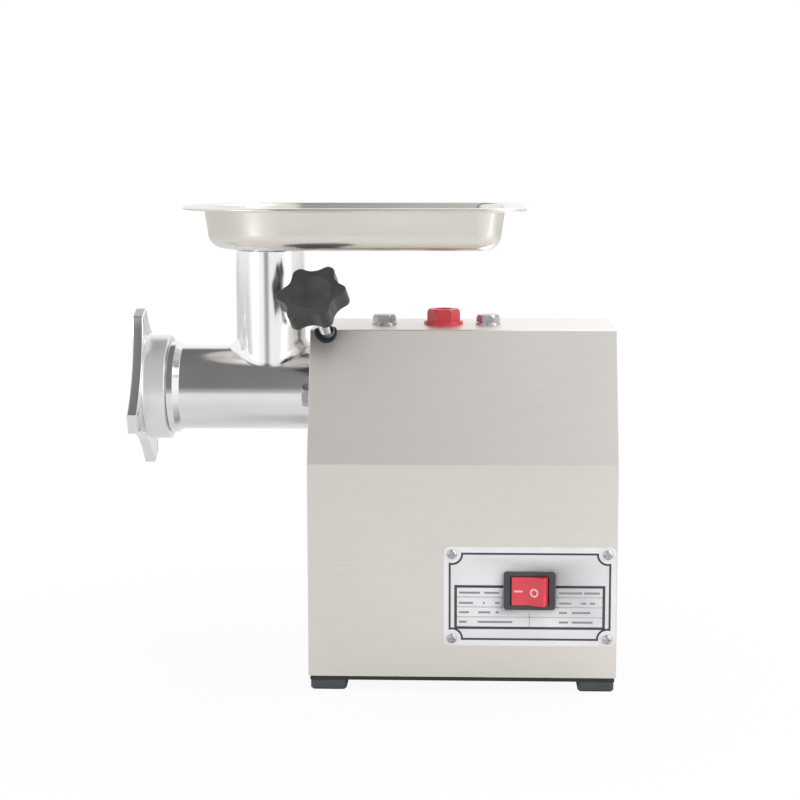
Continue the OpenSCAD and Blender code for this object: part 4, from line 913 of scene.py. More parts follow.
class GRINDER_OT_switch(PieceOperator, bpy.types.Operator):
    """Rocker switch with its bezel and the two marks on the rocker"""

    bl_idname = "grinder.switch"
    bl_label = "Switch"

    def build(self, context):
        self.bezel()
        settle(edged_copy("switch_rocker", "rocker_cap", finish("red_plastic"), 0.9, 4, angle=18, sharp=25),
               "switch_rocker")
        for name, (middle, normal), mark in zip(("mark_on", "mark_off"), rocker_flats(), ("bar", "ring")):
            side = Vector(normal).cross(Vector((0, 0, 1))).normalized()
            middle = Vector(middle) + side * {"bar": 1.6,
                                              "ring": 1.9}[mark] - Vector((0, 0, 0.9 * (mark == "ring")))
            piece = new_object(name, *self.mark(mark, middle, normal), finish("white_ink"))
            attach(piece, "rocker")

    def bezel(self):
        """Frame with a rounded front round an open well, its case behind and three tabs."""
        low, high = corners("switch_body")
        rocker_low, rocker_high = corners("switch_rocker")
        seat = corners("rating_plate")[0][1]
        self.middle = (low + high) / 2
        outer = (high - low)[[0, 2]] / 2
        well = np.array([(rocker_high - rocker_low)[0] / 2 + 0.35, sizes().rocker_height / MM / 2 + 0.3])
        edge, lip, floor = sizes().bezel_edge / MM, 0.6, seat + 19.0
        rings = [self.loop(well, 0.5, floor), self.loop(well, 0.5, low[1] + lip)]
        for a in np.radians((30, 60, 90)):
            rings.append(self.loop(well + lip * (1 - math.cos(a)), 0.5 + lip, low[1] + lip * (1 - math.sin(a))))
        for a in np.radians((90, 70, 50, 30, 0)):
            inset = edge * (1 - math.cos(a))
            rings.append(self.loop(outer - inset, 2.5 - inset / 2, low[1] + edge * (1 - math.sin(a))))
        rings.append(self.loop(outer, 2.5, seat - 0.3))
        rings.append(self.loop(outer - 0.3, 2.2, seat))
        rings.append(self.loop(outer - 3.2, 0.5, seat))
        rings.append(self.loop(outer - 3.2, 0.5, seat + 22.0))
        parts = [loft(rings, True, True)]
        for along in (-12, 0, 12):
            parts.append(self.tab(self.middle[0] + along, seat + 21.5, high[1]))
        settle(new_object("switch_bezel", *joined(*parts), finish("black_plastic")), "switch_body")

    def loop(self, half, corner, y, steps=6):
        """Rectangle with round corners in the plane of the side wall."""
        points = []
        for sx, sz, start in ((1, 1, 0), (-1, 1, 90), (-1, -1, 180), (1, -1, 270)):
            for a in np.radians(np.linspace(start, start + 90, steps)):
                points.append((self.middle[0] + sx * (half[0] - corner) + corner * math.cos(a), y,
                               self.middle[2] + sz * (half[1] - corner) + corner * math.sin(a)))
        return points

    def tab(self, x, near, far):
        """Blade terminal with a chamfered tip."""
        rings = []
        for y, inset in ((near, 0), (far - 1.0, 0), (far, 0.8)):
            half, tall = 0.4 - inset / 4, 3.15 - inset
            rings.append([(x + a * half, y, self.middle[2] + b * tall) for a,
                          b in ((1, 1), (-1, 1), (-1, -1), (1, -1))])
        return loft(rings, True, True)

    def mark(self, kind, middle, normal):
        """A short bar or a ring laid on one flat of the rocker."""
        matrix = frame_of(middle, normal)
        if kind == "bar":
            side = Vector(normal).cross(Vector((0, 0, 1))).normalized()
            rings = []
            for lift in (-0.1, 0.05):
                rings.append([tuple(Vector(middle) + side * b + Vector((0, 0, a)) + Vector(normal) * lift)
                              for a, b in ((-0.8, -3.8), (0.8, -3.8), (0.8, 3.8), (-0.8, 3.8))])
            return loft(rings, True, True)
        rings = []
        for along, radius in ((-0.1, 2.4), (0.05, 2.4), (0.05, 4.1), (-0.1, 4.1)):
            angles = np.arange(48) * 2 * math.pi / 48
            rings.append(placed(np.stack([radius * np.cos(angles), radius * np.sin(angles), np.full(48, along)],
                                         1), matrix))
        return closed_loft(rings)


def rocker_flats():
    """Middle and outward direction of the rocker's two flats, the one toward the head first."""
    mesh = frame["nodes"]["switch_rocker"].data
    sums = {}
    for face in mesh.polygons:
        n = face.normal
        if n.y < -0.8 and abs(n.z) < 0.01:
            key = round(math.degrees(math.atan2(n.x, -n.y)))
            area, total = sums.get(key, (0.0, Vector((0, 0, 0))))
            sums[key] = (area + face.area, total + face.center * face.area)
    best = sorted(sums.items(), key=lambda item: -item[1][0])[:2]
    flats = []
    for key, (area, total) in best:
        a = math.radians(key)
        flats.append((np.array(total / area) / MM, (math.sin(a), -math.cos(a), 0)))
    return sorted(flats, key=lambda flat: flat[0][0])


# ---- head ----------------------------------------------------------------------------------------
def axis_matrix(x=0.0):
    """Turns points drawn round +Z into points round the screw's axis, along +X from x."""
    return frame_of((x, 0, AXIS_Z), (1, 0, 0))


class GRINDER_OT_head(PieceOperator, bpy.types.Operator):
    """Polished head: barrel with collar and shank, feed tube, and the fillet between them"""

    bl_idname = "grinder.head"
    bl_label = "Head"

    def build(self, context):
        low, high = corners("feed_head")
        tube_low, tube_high = corners("feed_tube")
        self.tube_r = (tube_high[1] - tube_low[1]) / 2
        self.bore_r = self.tube_bore()
        self.barrel_r = BARREL_R
        spigot_x, shank_x = low[0], high[0]
        ring_end = corners("locking_ring")[1][0] + 0.5
        shoulder = X0 - 1.5
        outer = [(spigot_x, 42), (ring_end, 42), (ring_end, 43.25), (ring_end + 6, 43.25),
                 (ring_end + 11.5, self.barrel_r),
                 (shoulder, self.barrel_r), (shoulder, 30), (shank_x, 30)]
        inner = [(shank_x, 17), (shoulder - 8, 17), (shoulder - 8, 32), (low[0] + 4, 32), (low[0] + 4, 35.3),
                 (spigot_x, 35.3)]
        profile = outer + inner
        soft = [0.4, 0.6, 0.2, 0.8, 2.5, 1.0, 0.3, 0.9] + [0.3, 0.3, 0.3, 0.4, 0.2, 0.3]
        rounded_profile = []
        count = len(profile)
        for i, corner in enumerate(profile):
            rounded_profile += round_corner(profile[i - 1], corner, profile[(i + 1) % count], soft[i], 4)
        rings = self.rings(rounded_profile, 256)
        barrel = new_object("head_casting", *closed_loft(rings), finish("polished_alloy"))
        throat = bar((TUBE_X, 0, AXIS_Z), (0, 0, 1), 60, self.bore_r + 0.5, 128)
        cut_with(barrel, [throat])
        even(barrel, 28)
        settle(barrel, "feed_head")
        tube = new_object("feed_tube_casting", *self.tube(tube_high[2]), finish("polished_alloy"))
        settle(tube, "feed_tube")
        fillet = new_object("tube_fillet", *self.fillet(shoulder), finish("polished_alloy"), 40)
        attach(fillet, "head")

    def tube_bore(self):
        co = points_of("feed_tube")
        return float(np.hypot(co[:, 0] - TUBE_X, co[:, 1]).min())

    def rings(self, profile, steps):
        matrix = axis_matrix()
        angles = np.arange(steps) * 2 * math.pi / steps
        return [placed(np.stack([r * np.cos(angles), r * np.sin(angles), np.full(steps, x)], 1), matrix) for x,
                r in profile]

    def saddle(self, radius, barrel, angle):
        """Height of the barrel's surface at a place round the tube."""
        y = radius * math.sin(angle)
        return AXIS_Z + math.sqrt(max(barrel * barrel - y * y, 0))

    def tube(self, top):
        steps = 256
        edge = 1.2
        rows = []
        for radius, z in ((self.bore_r, None), (self.bore_r, top - edge), (self.bore_r + 0.4, top - 0.35),
                          (self.bore_r + edge, top), (self.tube_r - edge, top),
                          (self.tube_r - 0.35, top - 0.35),
                          (self.tube_r, top - edge), (self.tube_r, None)):
            row = []
            for i in range(steps):
                a = 2 * math.pi * i / steps
                height = self.saddle(radius, self.barrel_r - 1.5, a) if z is None else z
                row.append((TUBE_X + radius * math.cos(a), radius * math.sin(a), height))
            rows.append(row)
        return closed_loft(rows)

    def fillet(self, shoulder):
        """Ball rolled round the joint of tube and barrel, and closed inside the metal."""
        rho = sizes().fillet / MM
        a, big, steps, arc = self.tube_r, self.barrel_r, 256, 10
        rows = [[] for _ in range(arc + 2)]
        for i in range(steps):
            t = 2 * math.pi * i / steps
            c = np.array([TUBE_X + (a + rho) * math.cos(t), (a + rho) * math.sin(t),
                          self.saddle(a + rho, big + rho, t)])
            on_tube = np.array([TUBE_X + a * math.cos(t), a * math.sin(t), c[2]])
            on_barrel = np.array([c[0], c[1] * big / (big + rho), AXIS_Z + (c[2] - AXIS_Z) * big / (big + rho)])
            u, v = (on_tube - c) / rho, (on_barrel - c) / rho
            whole = math.acos(max(-1, min(1, float(u @ v))))
            for k in range(arc + 1):
                s = k / arc
                p = c + rho * (math.sin((1 - s) * whole) * u + math.sin(s * whole) * v) / math.sin(whole)
                rows[k].append((min(p[0], shoulder - 0.2), p[1], p[2]))
            deep = self.saddle(a - 1.5, big - 1.5, t)
            rows[arc + 1].append((TUBE_X + (a - 1.5) * math.cos(t), (a - 1.5) * math.sin(t), deep))
        return closed_loft(rows)


BARREL_R = 40.0


# ---- screw, knife and plate ----------------------------------------------------------------------
class GRINDER_OT_screw(PieceOperator, bpy.types.Operator):
    """Cast screw with its helical flight, the knife and the perforated plate"""

    bl_idname = "grinder.screw"
    bl_label = "Screw and cutters"

    def build(self, context):
        low, high = corners("auger")
        knife_low, knife_high = corners("cutting_blade")
        start = knife_high[0]
        floor = X0 - 1.5 - 8
        flight_start, flight_end = start + 2, floor - 4
        core = [(start, 0), (start, 11), (flight_start + 20, 11), (flight_end - 30, 17), (flight_end, 17),
                (flight_end + 1, 15),
                (floor - 0.3, 15), (floor - 0.3, 12), (floor + 44, 12), (floor + 44, 0)]
        shape = rounded(core, [0, 0.6, 4, 4, 1, 0.5, 0.5, 0.3, 0.8, 0], 3)
        parts = [turned([(x, r) for x, r in shape], axis_matrix(), 96), self.flight(flight_start, flight_end)]
        parts.append(self.square(floor + 40, high[0], 8.0))
        parts.append(self.square(knife_low[0] + 0.2, start + 0.3, 6.5))
        pin = [(low[0], 0), (low[0], 5.91), (start, 5.91), (start, 0)]
        parts.append(turned(rounded(pin, 0.4, 3), axis_matrix(), 64))
        screw = new_object("feed_screw", *joined(*parts), finish("tinned_iron"), 40)
        settle(screw, "auger")
        settle(edged_copy("cutting_blade", "knife", finish("blade_steel"), 0.3), "cutting_blade")
        settle(edged_copy("cutting_plate", "perforated_plate", finish("blade_steel"), 0.25, 1), "cutting_plate")

    def square(self, x0, x1, half):
        rings = []
        for x, h in ((x0, half - 0.6), (x0 + 0.6, half), (x1 - 0.6, half), (x1, half - 0.6)):
            rings.append([(x, s * h, AXIS_Z + t * h) for s, t in ((-1, -1), (1, -1), (1, 1), (-1, 1))])
        return loft(rings, True, True)

    def flight(self, start, end, pitch=34.0, steps=96, root=10.0, edge=4.5, radius=31.0, inner=7.0):
        """Rib wound round the core, thick at its root and rounded at its edge."""
        section = [(inner, -root / 2)] + [(radius - 1.2, -edge / 2), (radius - 0.35, -edge / 2 + 0.35),
                                          (radius, -edge / 2 + 1.2),
                                          (radius, edge / 2 - 1.2), (radius - 0.35, edge / 2 - 0.35),
                                          (radius - 1.2, edge / 2)]
        section += [(inner, root / 2)]
        count = int((end - start - root) / pitch * 24) * steps // 24
        rings = []
        for i in range(count + 1):
            a = 2 * math.pi * i / steps
            x = start + root / 2 + i * pitch / steps
            rings.append([(x + off, r * math.cos(a), AXIS_Z + r * math.sin(a)) for r, off in section])
        return loft(rings, True, True)


# ---- locking ring --------------------------------------------------------------------------------
class GRINDER_OT_ring(PieceOperator, bpy.types.Operator):
    """Locking ring with four flat-ended lobes joined by hollow curves"""

    bl_idname = "grinder.ring"
    bl_label = "Locking ring"

    def build(self, context):
        low, high = corners("locking_ring")
        x0, x1 = low[0], high[0]
        edge = sizes().ring_edge / MM
        outline = self.outline()
        flange, body_r, bore, lip = 10.0, 49.25, 42.3, 30.5

        def lobes(x, inset):
            return [(x, y, AXIS_Z + z) for y, z in closed_inset(outline, inset)]

        def circle(x, r):
            return [(x, r * math.cos(t), AXIS_Z + r * math.sin(t)) for t in (math.atan2(z, y) for y,
                                                                             z in outline)]

        turn = [(1 - math.cos(a), 1 - math.sin(a)) for a in (math.radians(22.5 * i) for i in range(5))]
        rings = [circle(x0 + 5.2, lip), circle(x0 + 0.5, lip), circle(x0 + 0.15, lip + 0.15),
                 circle(x0, lip + 0.5), lobes(x0, edge + 1.4), lobes(x0, edge + 0.4)]
        rings += [lobes(x0 + edge * b, edge * a) for a, b in reversed([(p[0], p[1]) for p in turn])]
        rings += [lobes(x0 + flange - edge * b, edge * a) for a, b in turn]
        rings += [lobes(x0 + flange, edge + 0.4), lobes(x0 + flange, edge + 1.4)]
        rings += [circle(x0 + flange, body_r + 2.0), circle(x0 + flange + 0.3, body_r + 0.8),
                  circle(x0 + flange + 1.0, body_r + 0.2),
                  circle(x0 + flange + 2.0, body_r), circle(x1 - 1.2, body_r), circle(x1 - 0.35, body_r - 0.35),
                  circle(x1, body_r - 1.2),
                  circle(x1, bore + 0.5), circle(x1 - 0.5, bore), circle(x0 + 9.2, bore),
                  circle(x0 + 9.2, 35.3), circle(x0 + 5.2, 35.3)]
        ring = new_object("ring_nut", *closed_loft(rings), finish("polished_alloy"), 28)
        ring.data.materials.append(finish("turned_alloy"))
        for face in ring.data.polygons:
            face.material_index = int(face.center.x * 1000 > x0 + flange + 0.5)
        settle(ring, "locking_ring")

    def outline(self):
        """Lobed outline in Y and Z round the axis, given clockwise, turned as on the CAD part."""
        lobe_r, half, waist = 77.7, 9.75, 51.05
        far = (lobe_r ** 2 + half ** 2 - waist ** 2) / (2 * ((lobe_r + half) / math.sqrt(2) - waist))
        hollow = far - waist
        points = []
        for k in range(4):
            base = math.radians(90 * k)
            local = [(lobe_r, half * j / 4) for j in range(-4, 5)]
            middle = (far / math.sqrt(2), far / math.sqrt(2))
            begin = math.atan2(half - middle[1], lobe_r - middle[0])
            finish_at = math.atan2(lobe_r - middle[1], half - middle[0])
            if finish_at > begin:
                finish_at -= 2 * math.pi
            for j in range(1, 32):
                a = begin + (finish_at - begin) * j / 32
                local.append((middle[0] + hollow * math.cos(a), middle[1] + hollow * math.sin(a)))
            for y, z in local:
                points.append((y * math.cos(base) - z * math.sin(base),
                               y * math.sin(base) + z * math.cos(base)))
        soft = self.soften(points, 1.0)
        lean = self.lean()
        turned_points = [(y * math.cos(lean) - z * math.sin(lean),
                          y * math.sin(lean) + z * math.cos(lean)) for y, z in soft]
        return turned_points[::-1]

    def soften(self, points, radius):
        """Rounds the sharp corners of a closed outline."""
        out, count = [], len(points)
        for i, p in enumerate(points):
            a = np.array(points[i - 1]) - np.array(p)
            b = np.array(points[(i + 1) % count]) - np.array(p)
            turn = math.pi - math.acos(max(-1, min(1, float(a @ b) / np.linalg.norm(a) / np.linalg.norm(b))))
            if turn > math.radians(30):
                out += round_corner(points[i - 1], p, points[(i + 1) % count], radius, 4)
            else:
                out.append(p)
        return out

    def lean(self):
        """Angle of a lobe of the CAD ring from +Y."""
        co = points_of("locking_ring")
        y, z = co[:, 1], co[:, 2] - AXIS_Z
        far = np.hypot(y, z) > np.hypot(y, z).max() - 0.05
        angles = np.arctan2(z[far], y[far]) % (math.pi / 2)
        return float(np.angle(np.mean(np.exp(4j * angles))) / 4)


# ---- meat pan ------------------------------------------------------------------------------------
def round_box(half_x, half_y, corner, nose, steps=16):
    """Plan with round corners, larger ones toward -X; the same count of points for any size."""
    points = []
    for k, (sx, sy) in enumerate(((1, 1), (-1, 1), (-1, -1), (1, -1))):
        r = corner if sx > 0 else nose
        for i in range(steps + 1):
            a = math.radians(90 * k + 90 * i / steps)
            points.append((sx * (half_x - r) + r * math.cos(a), sy * (half_y - r) + r * math.sin(a)))
    return points


class GRINDER_OT_pan(PieceOperator, bpy.types.Operator):
    """Deep-drawn pan with a rolled rim and a short spigot that drops into the feed tube"""

    bl_idname = "grinder.pan"
    bl_label = "Meat pan"

    def build(self, context):
        s = sizes()
        low, high = corners("meat_tray")
        mid = (low + high) / 2
        half_x, half_y = (high - low)[:2] / 2
        top, floor = high[2], high[2] - 39.0
        bead, rim, corner, fillet = s.pan_bead / MM, s.pan_rim / MM, s.pan_corner / MM, s.pan_fillet / MM
        sheet, taper, nose = 1.2, 3.0, s.pan_nose / MM
        spigot_r = self.spigot_radius(low[2])

        def loop(inset, z, extra=0.0):
            plan = round_box(half_x - inset, half_y - inset, max(corner - inset + extra, 4), nose - inset)
            return [(mid[0] + x, mid[1] + y, z) for x, y in plan]

        def hole(r, z):
            base = [(x + mid[0], y) for x, y in round_box(half_x - rim - 20, half_y - rim - 20, 12, 64)]
            return [(TUBE_X + r * math.cos(t), r * math.sin(t), z)
                    for t in (math.atan2(y, x - TUBE_X) for x, y in base)]

        upper = [loop(bead * (1 - math.cos(math.radians(a))),
                      top - bead + bead * math.sin(math.radians(a))) for a in (-30, 0, 30, 60, 90)]
        fold = 3.0
        upper += [loop(rim - fold - 0.5, top)]
        upper += [loop(rim - fold + fold * math.sin(math.radians(a)),
                       top - fold * (1 - math.cos(math.radians(a))), 8 * a / 85) for a in (0, 20, 40, 60, 85)]
        wall_low = floor + sheet + fillet
        upper += [loop(rim + sheet + taper, wall_low, 8)]
        r = fillet - sheet
        upper += [loop(rim + sheet + taper + r * (1 - math.cos(math.radians(a))),
                       floor + sheet + r - r * math.sin(math.radians(a)), 8)
                  for a in (0, 12, 24, 36, 48, 60, 72, 84, 90)]
        upper += [loop(rim + 20, floor + sheet, 8)]
        upper += [hole(spigot_r + 2.2, floor + sheet), hole(spigot_r + 0.2, floor + sheet - 0.5),
                  hole(spigot_r - 0.9, floor + sheet - 1.8),
                  hole(spigot_r - sheet, floor - 1.2), hole(spigot_r - sheet, low[2] + 0.3),
                  hole(spigot_r - sheet + 0.3, low[2])]
        lower = [hole(spigot_r - 0.3, low[2]), hole(spigot_r, low[2] + 0.3), hole(spigot_r, floor - 2.0),
                 hole(spigot_r + 0.6, floor - 0.6), hole(spigot_r + 2.0, floor)]
        lower += [loop(rim + 20, floor, 8)]
        lower += [loop(rim + taper + fillet * (1 - math.cos(math.radians(a))),
                       floor + fillet - fillet * math.sin(math.radians(a)), 8)
                  for a in (90, 75, 60, 45, 30, 15, 0)]
        lower += [loop(rim, top - fold - sheet, 8), loop(rim - 1.5, top - sheet - 0.4),
                  loop(rim - fold, top - sheet)]
        lower += [loop(2 * bead, top - sheet)]
        lower += [loop(bead * (1 - math.cos(math.radians(a))),
                       top - bead + bead * math.sin(math.radians(a))) for a in (-150, -120, -90, -60)]
        pan = new_object("drawn_pan", *closed_loft(upper + lower), finish("pan_steel"), 50)
        settle(pan, "meat_tray")

    def spigot_radius(self, z):
        co = points_of("meat_tray")
        foot = co[co[:, 2] < z + 2]
        return float(np.hypot(foot[:, 0] - TUBE_X, foot[:, 1]).max())


# ---- clamp screw ---------------------------------------------------------------------------------
class GRINDER_OT_clamp(PieceOperator, bpy.types.Operator):
    """Threaded clamp screw and its star knob with a dished face"""

    bl_idname = "grinder.clamp"
    bl_label = "Clamp screw"

    def build(self, context):
        start, along = stud_line()
        self.start, self.along = Vector(start), Vector(along)
        stud = points_of("clamp_stud") @ along - np.array(start) @ along
        knob = points_of("clamp_knob") @ along - np.array(start) @ along
        settle(new_object("threaded_stud", *self.thread(stud.min(), stud.max()), finish("zinc_steel"), 60),
               "clamp_stud")
        settle(new_object("star_knob", *self.knob(knob.min(), knob.max()), finish("knob_plastic"), 45),
               "clamp_knob")

    def ring(self, radii, height, count):
        """Loop of points round the screw's axis at a height along it."""
        return self.raw(radii, height, np.arange(count) * 2 * math.pi / count)

    def thread(self, low, high, pitch=1.5, depth=0.7, radius=4.98, count=36):
        rings = [self.ring(0.01, low, count), self.ring(3.4, low, count)]
        z = low + 1.8
        angles = np.arange(count) / count
        while z < high - 0.5:
            phase = (z / pitch - angles) % 1.0
            rings.append(self.ring(radius - depth * np.clip(np.abs(phase - 0.5) * 3.2 - 0.3, 0, 1), z, count))
            z += pitch / 8
        rings += [self.ring(3.9, high - 0.3, count), self.ring(3.6, high, count), self.ring(0.01, high, count)]
        return loft(rings, True, True)

    def knob(self, back, face, lobes=6, outer=32.5, waist=25.2, hollow=18.0, hub_r=12.0, hub_h=7.0, bore=5.0,
             count=288):
        angles = np.arange(count) * 2 * math.pi / count
        off = (angles * lobes / (2 * math.pi) % 1.0 - 0.5) * 2 * math.pi / lobes
        far = waist + hollow
        inside = hollow ** 2 - (far * np.sin(off)) ** 2
        star = np.where(inside > 0, far * np.cos(off) - np.sqrt(np.maximum(inside, 0)), outer)
        star = np.minimum(star, outer)
        kernel = np.exp(-0.5 * (np.arange(-9, 10) / 2.8) ** 2)
        wrapped = np.concatenate([star[-9:], star, star[:9]])
        star = np.minimum(np.convolve(wrapped, kernel / kernel.sum(), "valid"), outer)
        angles = angles + self.turn()
        edge = sizes().knob_edge / MM
        low = back + hub_h
        rings = [self.raw(bore, back, angles), self.raw(hub_r - 1.2, back, angles),
                 self.raw(hub_r - 0.3, back + 0.35, angles), self.raw(hub_r, back + 1.2, angles),
                 self.raw(hub_r, low - 1.0, angles), self.raw(hub_r + 0.4, low - 0.3, angles),
                 self.raw(hub_r + 1.2, low, angles)]
        for a in (90, 72, 54, 36, 18, 0):
            t = math.radians(a)
            rings.append(self.raw(star - edge * 0.6 * (1 - math.cos(t)), low + edge * 0.6 * (1 - math.sin(t)),
                                  angles))
        for a in (0, 15, 30, 45, 60, 75, 90):
            t = math.radians(a)
            rings.append(self.raw(star - edge * (1 - math.cos(t)), face - edge * (1 - math.sin(t)), angles))
        dish, ball_r, ball_rise = 18.2, 38.8, 34.3      # dish's rim, and the ball that hollows it
        rings += [self.raw(dish + 0.9, face, angles), self.raw(dish + 0.3, face - 0.1, angles),
                  self.raw(dish - 0.3, face - 0.45, angles)]
        for r in (16.5, 14, 12, 9, 6, 3, 1, 0.02):
            rings.append(self.raw(r, face + ball_rise - math.sqrt(ball_r ** 2 - r * r), angles))
        rings += [self.raw(0.02, face - 6, angles), self.raw(bore, face - 6, angles)]
        return closed_loft(rings)

    def raw(self, radii, height, angles):
        """Loop of points round the screw's axis at given angles."""
        radii = np.broadcast_to(radii, angles.shape)
        local = np.stack([radii * np.cos(angles), radii * np.sin(angles), np.full(len(angles), height)], 1)
        return placed(local, frame_of(self.start, self.along))

    def turn(self):
        """Angle of a lobe of the CAD knob, found in the same drawing frame."""
        inverse = np.array(frame_of(self.start, self.along).inverted())
        co = placed(points_of("clamp_knob"), inverse)
        r = np.hypot(co[:, 0], co[:, 1])
        tips = co[r > r.max() - 0.02]
        angles = np.arctan2(tips[:, 1], tips[:, 0])
        return 0.0 if len(tips) == 0 else float(np.angle(np.mean(np.exp(6j * angles))) / 6)


# ---- works inside the body -----------------------------------------------------------------------
class GRINDER_OT_works(PieceOperator, bpy.types.Operator):
    """Finishes of the gearbox, motor and wiring parts, which are shown as they are in the CAD"""

    bl_idname = "grinder.works"
    bl_label = "Works"

    def build(self, context):
        for name, node in frame["nodes"].items():
            if not node.hide_render:
                node.data.materials.clear()
                node.data.materials.append(finish(SLOTS[name]))
                smooth(node)


# ---- stage ---------------------------------------------------------------------------------------
class GRINDER_OT_stage(PieceOperator, bpy.types.Operator):
    """Pale floor, soft light, surround and camera"""

    bl_idname = "grinder.stage"
    bl_label = "Stage"

    def build(self, context):
        stage = context.scene.grinder_stage
        self.floor(stage)
        self.lamp("Key_softbox", (1.5, -0.6, 2.0), (0.05, 0, 0.25), 1.6, stage.key)
        self.lamp("Rear_softbox", (0.55, 0.85, 1.65), (-0.05, 0, 0.35), 0.5, stage.rear)
        self.lamp("Side_softbox", (1.7, -0.75, 0.45), (0.1, 0, 0.2), 0.6, stage.side)
        self.lamp("Left_softbox", (-1.2, -1.0, 0.35), (-0.1, 0, 0.35), 0.5, stage.left)
        self.world(stage)
        self.camera()
        context.scene.view_settings.view_transform = "Standard"

    def floor(self, stage):
        half, front = 6000, -1500
        rings = [[(-half, front, z), (half, front, z), (half, half, z), (-half, half, z)] for z in (-20, 0)]
        material, tree, shader = surface("Pale_matt_paper", 0.0, 0.9)
        shader.inputs["Base Color"].default_value = shade(stage.floor)
        fibres = noise(tree, 2.0, detail=2.0)
        relief(tree, shader, [(fibres, 0.05, 0.05)])
        seen = add(tree, "ShaderNodeLightPath").outputs["Is Camera Ray"]
        glow = add(tree, "ShaderNodeEmission", {"Color": (1, 1, 1, 1), "Strength": 1.0}).outputs["Emission"]
        place = add(tree, "ShaderNodeTexCoord").outputs["Object"]
        away = add(tree, "ShaderNodeVectorMath", {0: place}, operation="LENGTH").outputs["Value"]
        share = add(tree, "ShaderNodeMath", {0: seen, 1: spread(tree, away, 0.22, 0.55, 0.93, 1.0)},
                    operation="MULTIPLY").outputs[0]
        mixed = add(tree, "ShaderNodeMixShader", {0: share, 1: shader.outputs["BSDF"], 2: glow}).outputs[0]
        out = next(n for n in tree.nodes if n.type == "OUTPUT_MATERIAL")
        tree.links.new(mixed, out.inputs["Surface"])
        ground = new_object("floor", *loft(rings, True, True), material)

    def lamp(self, name, place, aim, size, power):
        data = bpy.data.lights.new(name, "AREA")
        data.shape = "DISK"
        data.size = size
        data.energy = power
        lamp = bpy.data.objects.new(name, data)
        lamp.location = place
        lamp.rotation_euler = (Vector(aim) - Vector(place)).to_track_quat("-Z", "Y").to_euler()
        bpy.context.scene.collection.objects.link(lamp)

    def world(self, stage):
        """White for the camera. The metal sees it dimmer in front, and dark in a strip on the head's side."""
        world = bpy.data.worlds.new("Studio_surround")
        bpy.context.scene.world = world
        world.use_nodes = True
        tree = world.node_tree
        tree.nodes.clear()
        ray = add(tree, "ShaderNodeTexCoord").outputs["Generated"]
        parts = add(tree, "ShaderNodeSeparateXYZ", {0: ray}).outputs
        x, y, z = parts["X"], parts["Y"], parts["Z"]
        front = self.times(tree, spread(tree, x, -0.40, -0.30), spread(tree, x, 0.62, 0.50),
                           spread(tree, y, 0.1, -0.1))
        grey = spread(tree, z, 0.0, 0.3, stage.front_low, stage.front_high)
        strip = self.times(tree, spread(tree, x, -0.30, -0.22), spread(tree, x, 0.04, -0.07),
                           spread(tree, y, 0.78, 0.64))
        dark = spread(tree, z, -0.10, 0.06, stage.dim_low, stage.dim_front)
        level = add(tree, "ShaderNodeMix", {0: front, 2: stage.sky, 3: grey}, data_type="FLOAT").outputs[0]
        level = add(tree, "ShaderNodeMix", {0: strip, 2: level, 3: dark}, data_type="FLOAT").outputs[0]
        path = add(tree, "ShaderNodeLightPath").outputs
        camera = path["Is Camera Ray"]
        level = add(tree, "ShaderNodeMix", {0: camera, 2: level, 3: 1.0}, data_type="FLOAT").outputs[0]
        background = add(tree, "ShaderNodeBackground", {"Color": (1, 1, 1, 1), "Strength": level}).outputs[0]
        out = add(tree, "ShaderNodeOutputWorld")
        tree.links.new(background, out.inputs["Surface"])

    def times(self, tree, first, *others):
        """Product of several values."""
        for other in others:
            first = add(tree, "ShaderNodeMath", {0: first, 1: other}, operation="MULTIPLY").outputs[0]
        return first

    def camera(self):
        data = bpy.data.cameras.new("Camera")
        camera = bpy.data.objects.new("Camera", data)
        yaw, pitch, roll = (math.radians(a) for a in (-2.29, -7.7, -0.11))
        ahead = Vector((math.sin(yaw) * math.cos(pitch), math.cos(yaw) * math.cos(pitch), math.sin(pitch)))
        right = Vector((math.cos(yaw), -math.sin(yaw), 0))
        up = right.cross(ahead)
        right, up = math.cos(roll) * right + math.sin(roll) * up, -math.sin(roll) * right + math.cos(roll) * up
        turn = Matrix((right, up, -ahead)).transposed()
        camera.matrix_world = Matrix.Translation((0.0930, -1.7481, 0.4911)) @ turn.to_4x4()
        data.lens = 83.25
        data.sensor_width = 36
        data.clip_end = 50
        bpy.context.scene.collection.objects.link(camera)
        bpy.context.scene.camera = camera
        bpy.context.scene.render.resolution_x = 800
        bpy.context.scene.render.resolution_y = 800


# ---- add-on --------------------------------------------------------------------------------------------------------------------------
OPERATORS = (GRINDER_OT_skin, GRINDER_OT_panels, GRINDER_OT_base, GRINDER_OT_fittings, GRINDER_OT_plate,
             GRINDER_OT_switch,
             GRINDER_OT_head, GRINDER_OT_screw, GRINDER_OT_ring, GRINDER_OT_pan, GRINDER_OT_clamp,
             GRINDER_OT_works, GRINDER_OT_stage)
GROUPS = (GrinderSizes, GrinderFinish, GrinderStage)


class GRINDER_PT_panel(bpy.types.Panel):
    """Lists the add-on's operators"""

    bl_idname = "GRINDER_PT_panel"
    bl_label = "Meat grinder"
    bl_space_type = "VIEW_3D"
    bl_region_type = "UI"
    bl_category = "Grinder"

    def draw(self, context):
        for operator in OPERATORS:
            self.layout.operator(operator.bl_idname)


def register():
    for kind in GROUPS + OPERATORS + (GRINDER_PT_panel,):
        bpy.utils.register_class(kind)
    bpy.types.Scene.grinder_sizes = bpy.props.PointerProperty(type=GrinderSizes)
    bpy.types.Scene.grinder_finish = bpy.props.PointerProperty(type=GrinderFinish)
    bpy.types.Scene.grinder_stage = bpy.props.PointerProperty(type=GrinderStage)


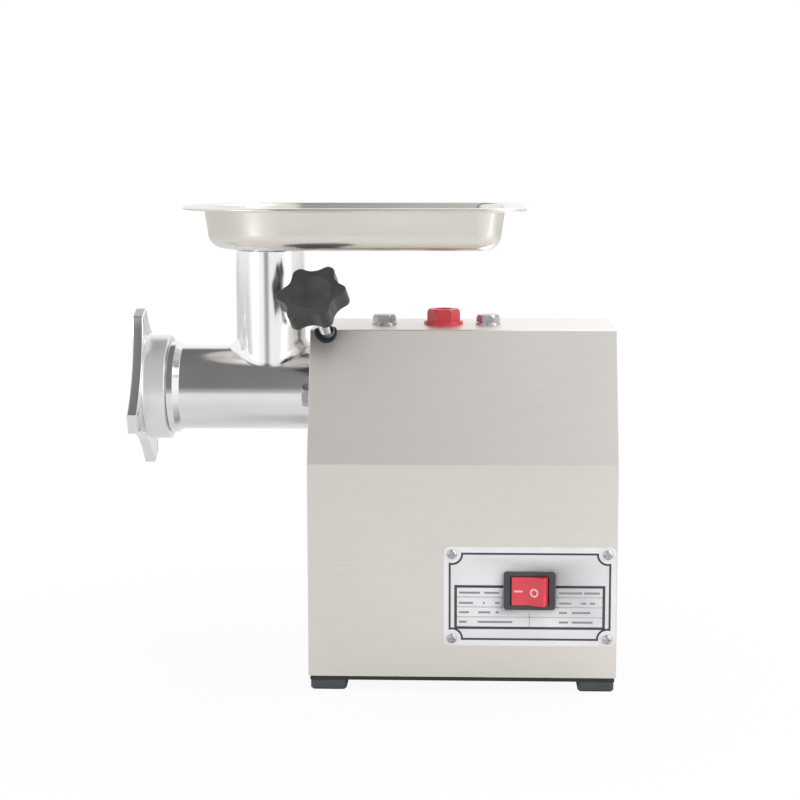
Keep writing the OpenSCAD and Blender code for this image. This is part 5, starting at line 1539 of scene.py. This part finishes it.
def unregister():
    for name in ("grinder_sizes", "grinder_finish", "grinder_stage"):
        delattr(bpy.types.Scene, name)
    for kind in reversed(GROUPS + OPERATORS + (GRINDER_PT_panel,)):
        bpy.utils.unregister_class(kind)


def main():
    register()
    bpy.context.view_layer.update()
    MATERIALS.update(make_materials(bpy.context.scene.grinder_finish))
    for operator in OPERATORS:
        group, name = operator.bl_idname.split(".")
        getattr(getattr(bpy.ops, group), name)()


if __name__ == "__main__":
    main()
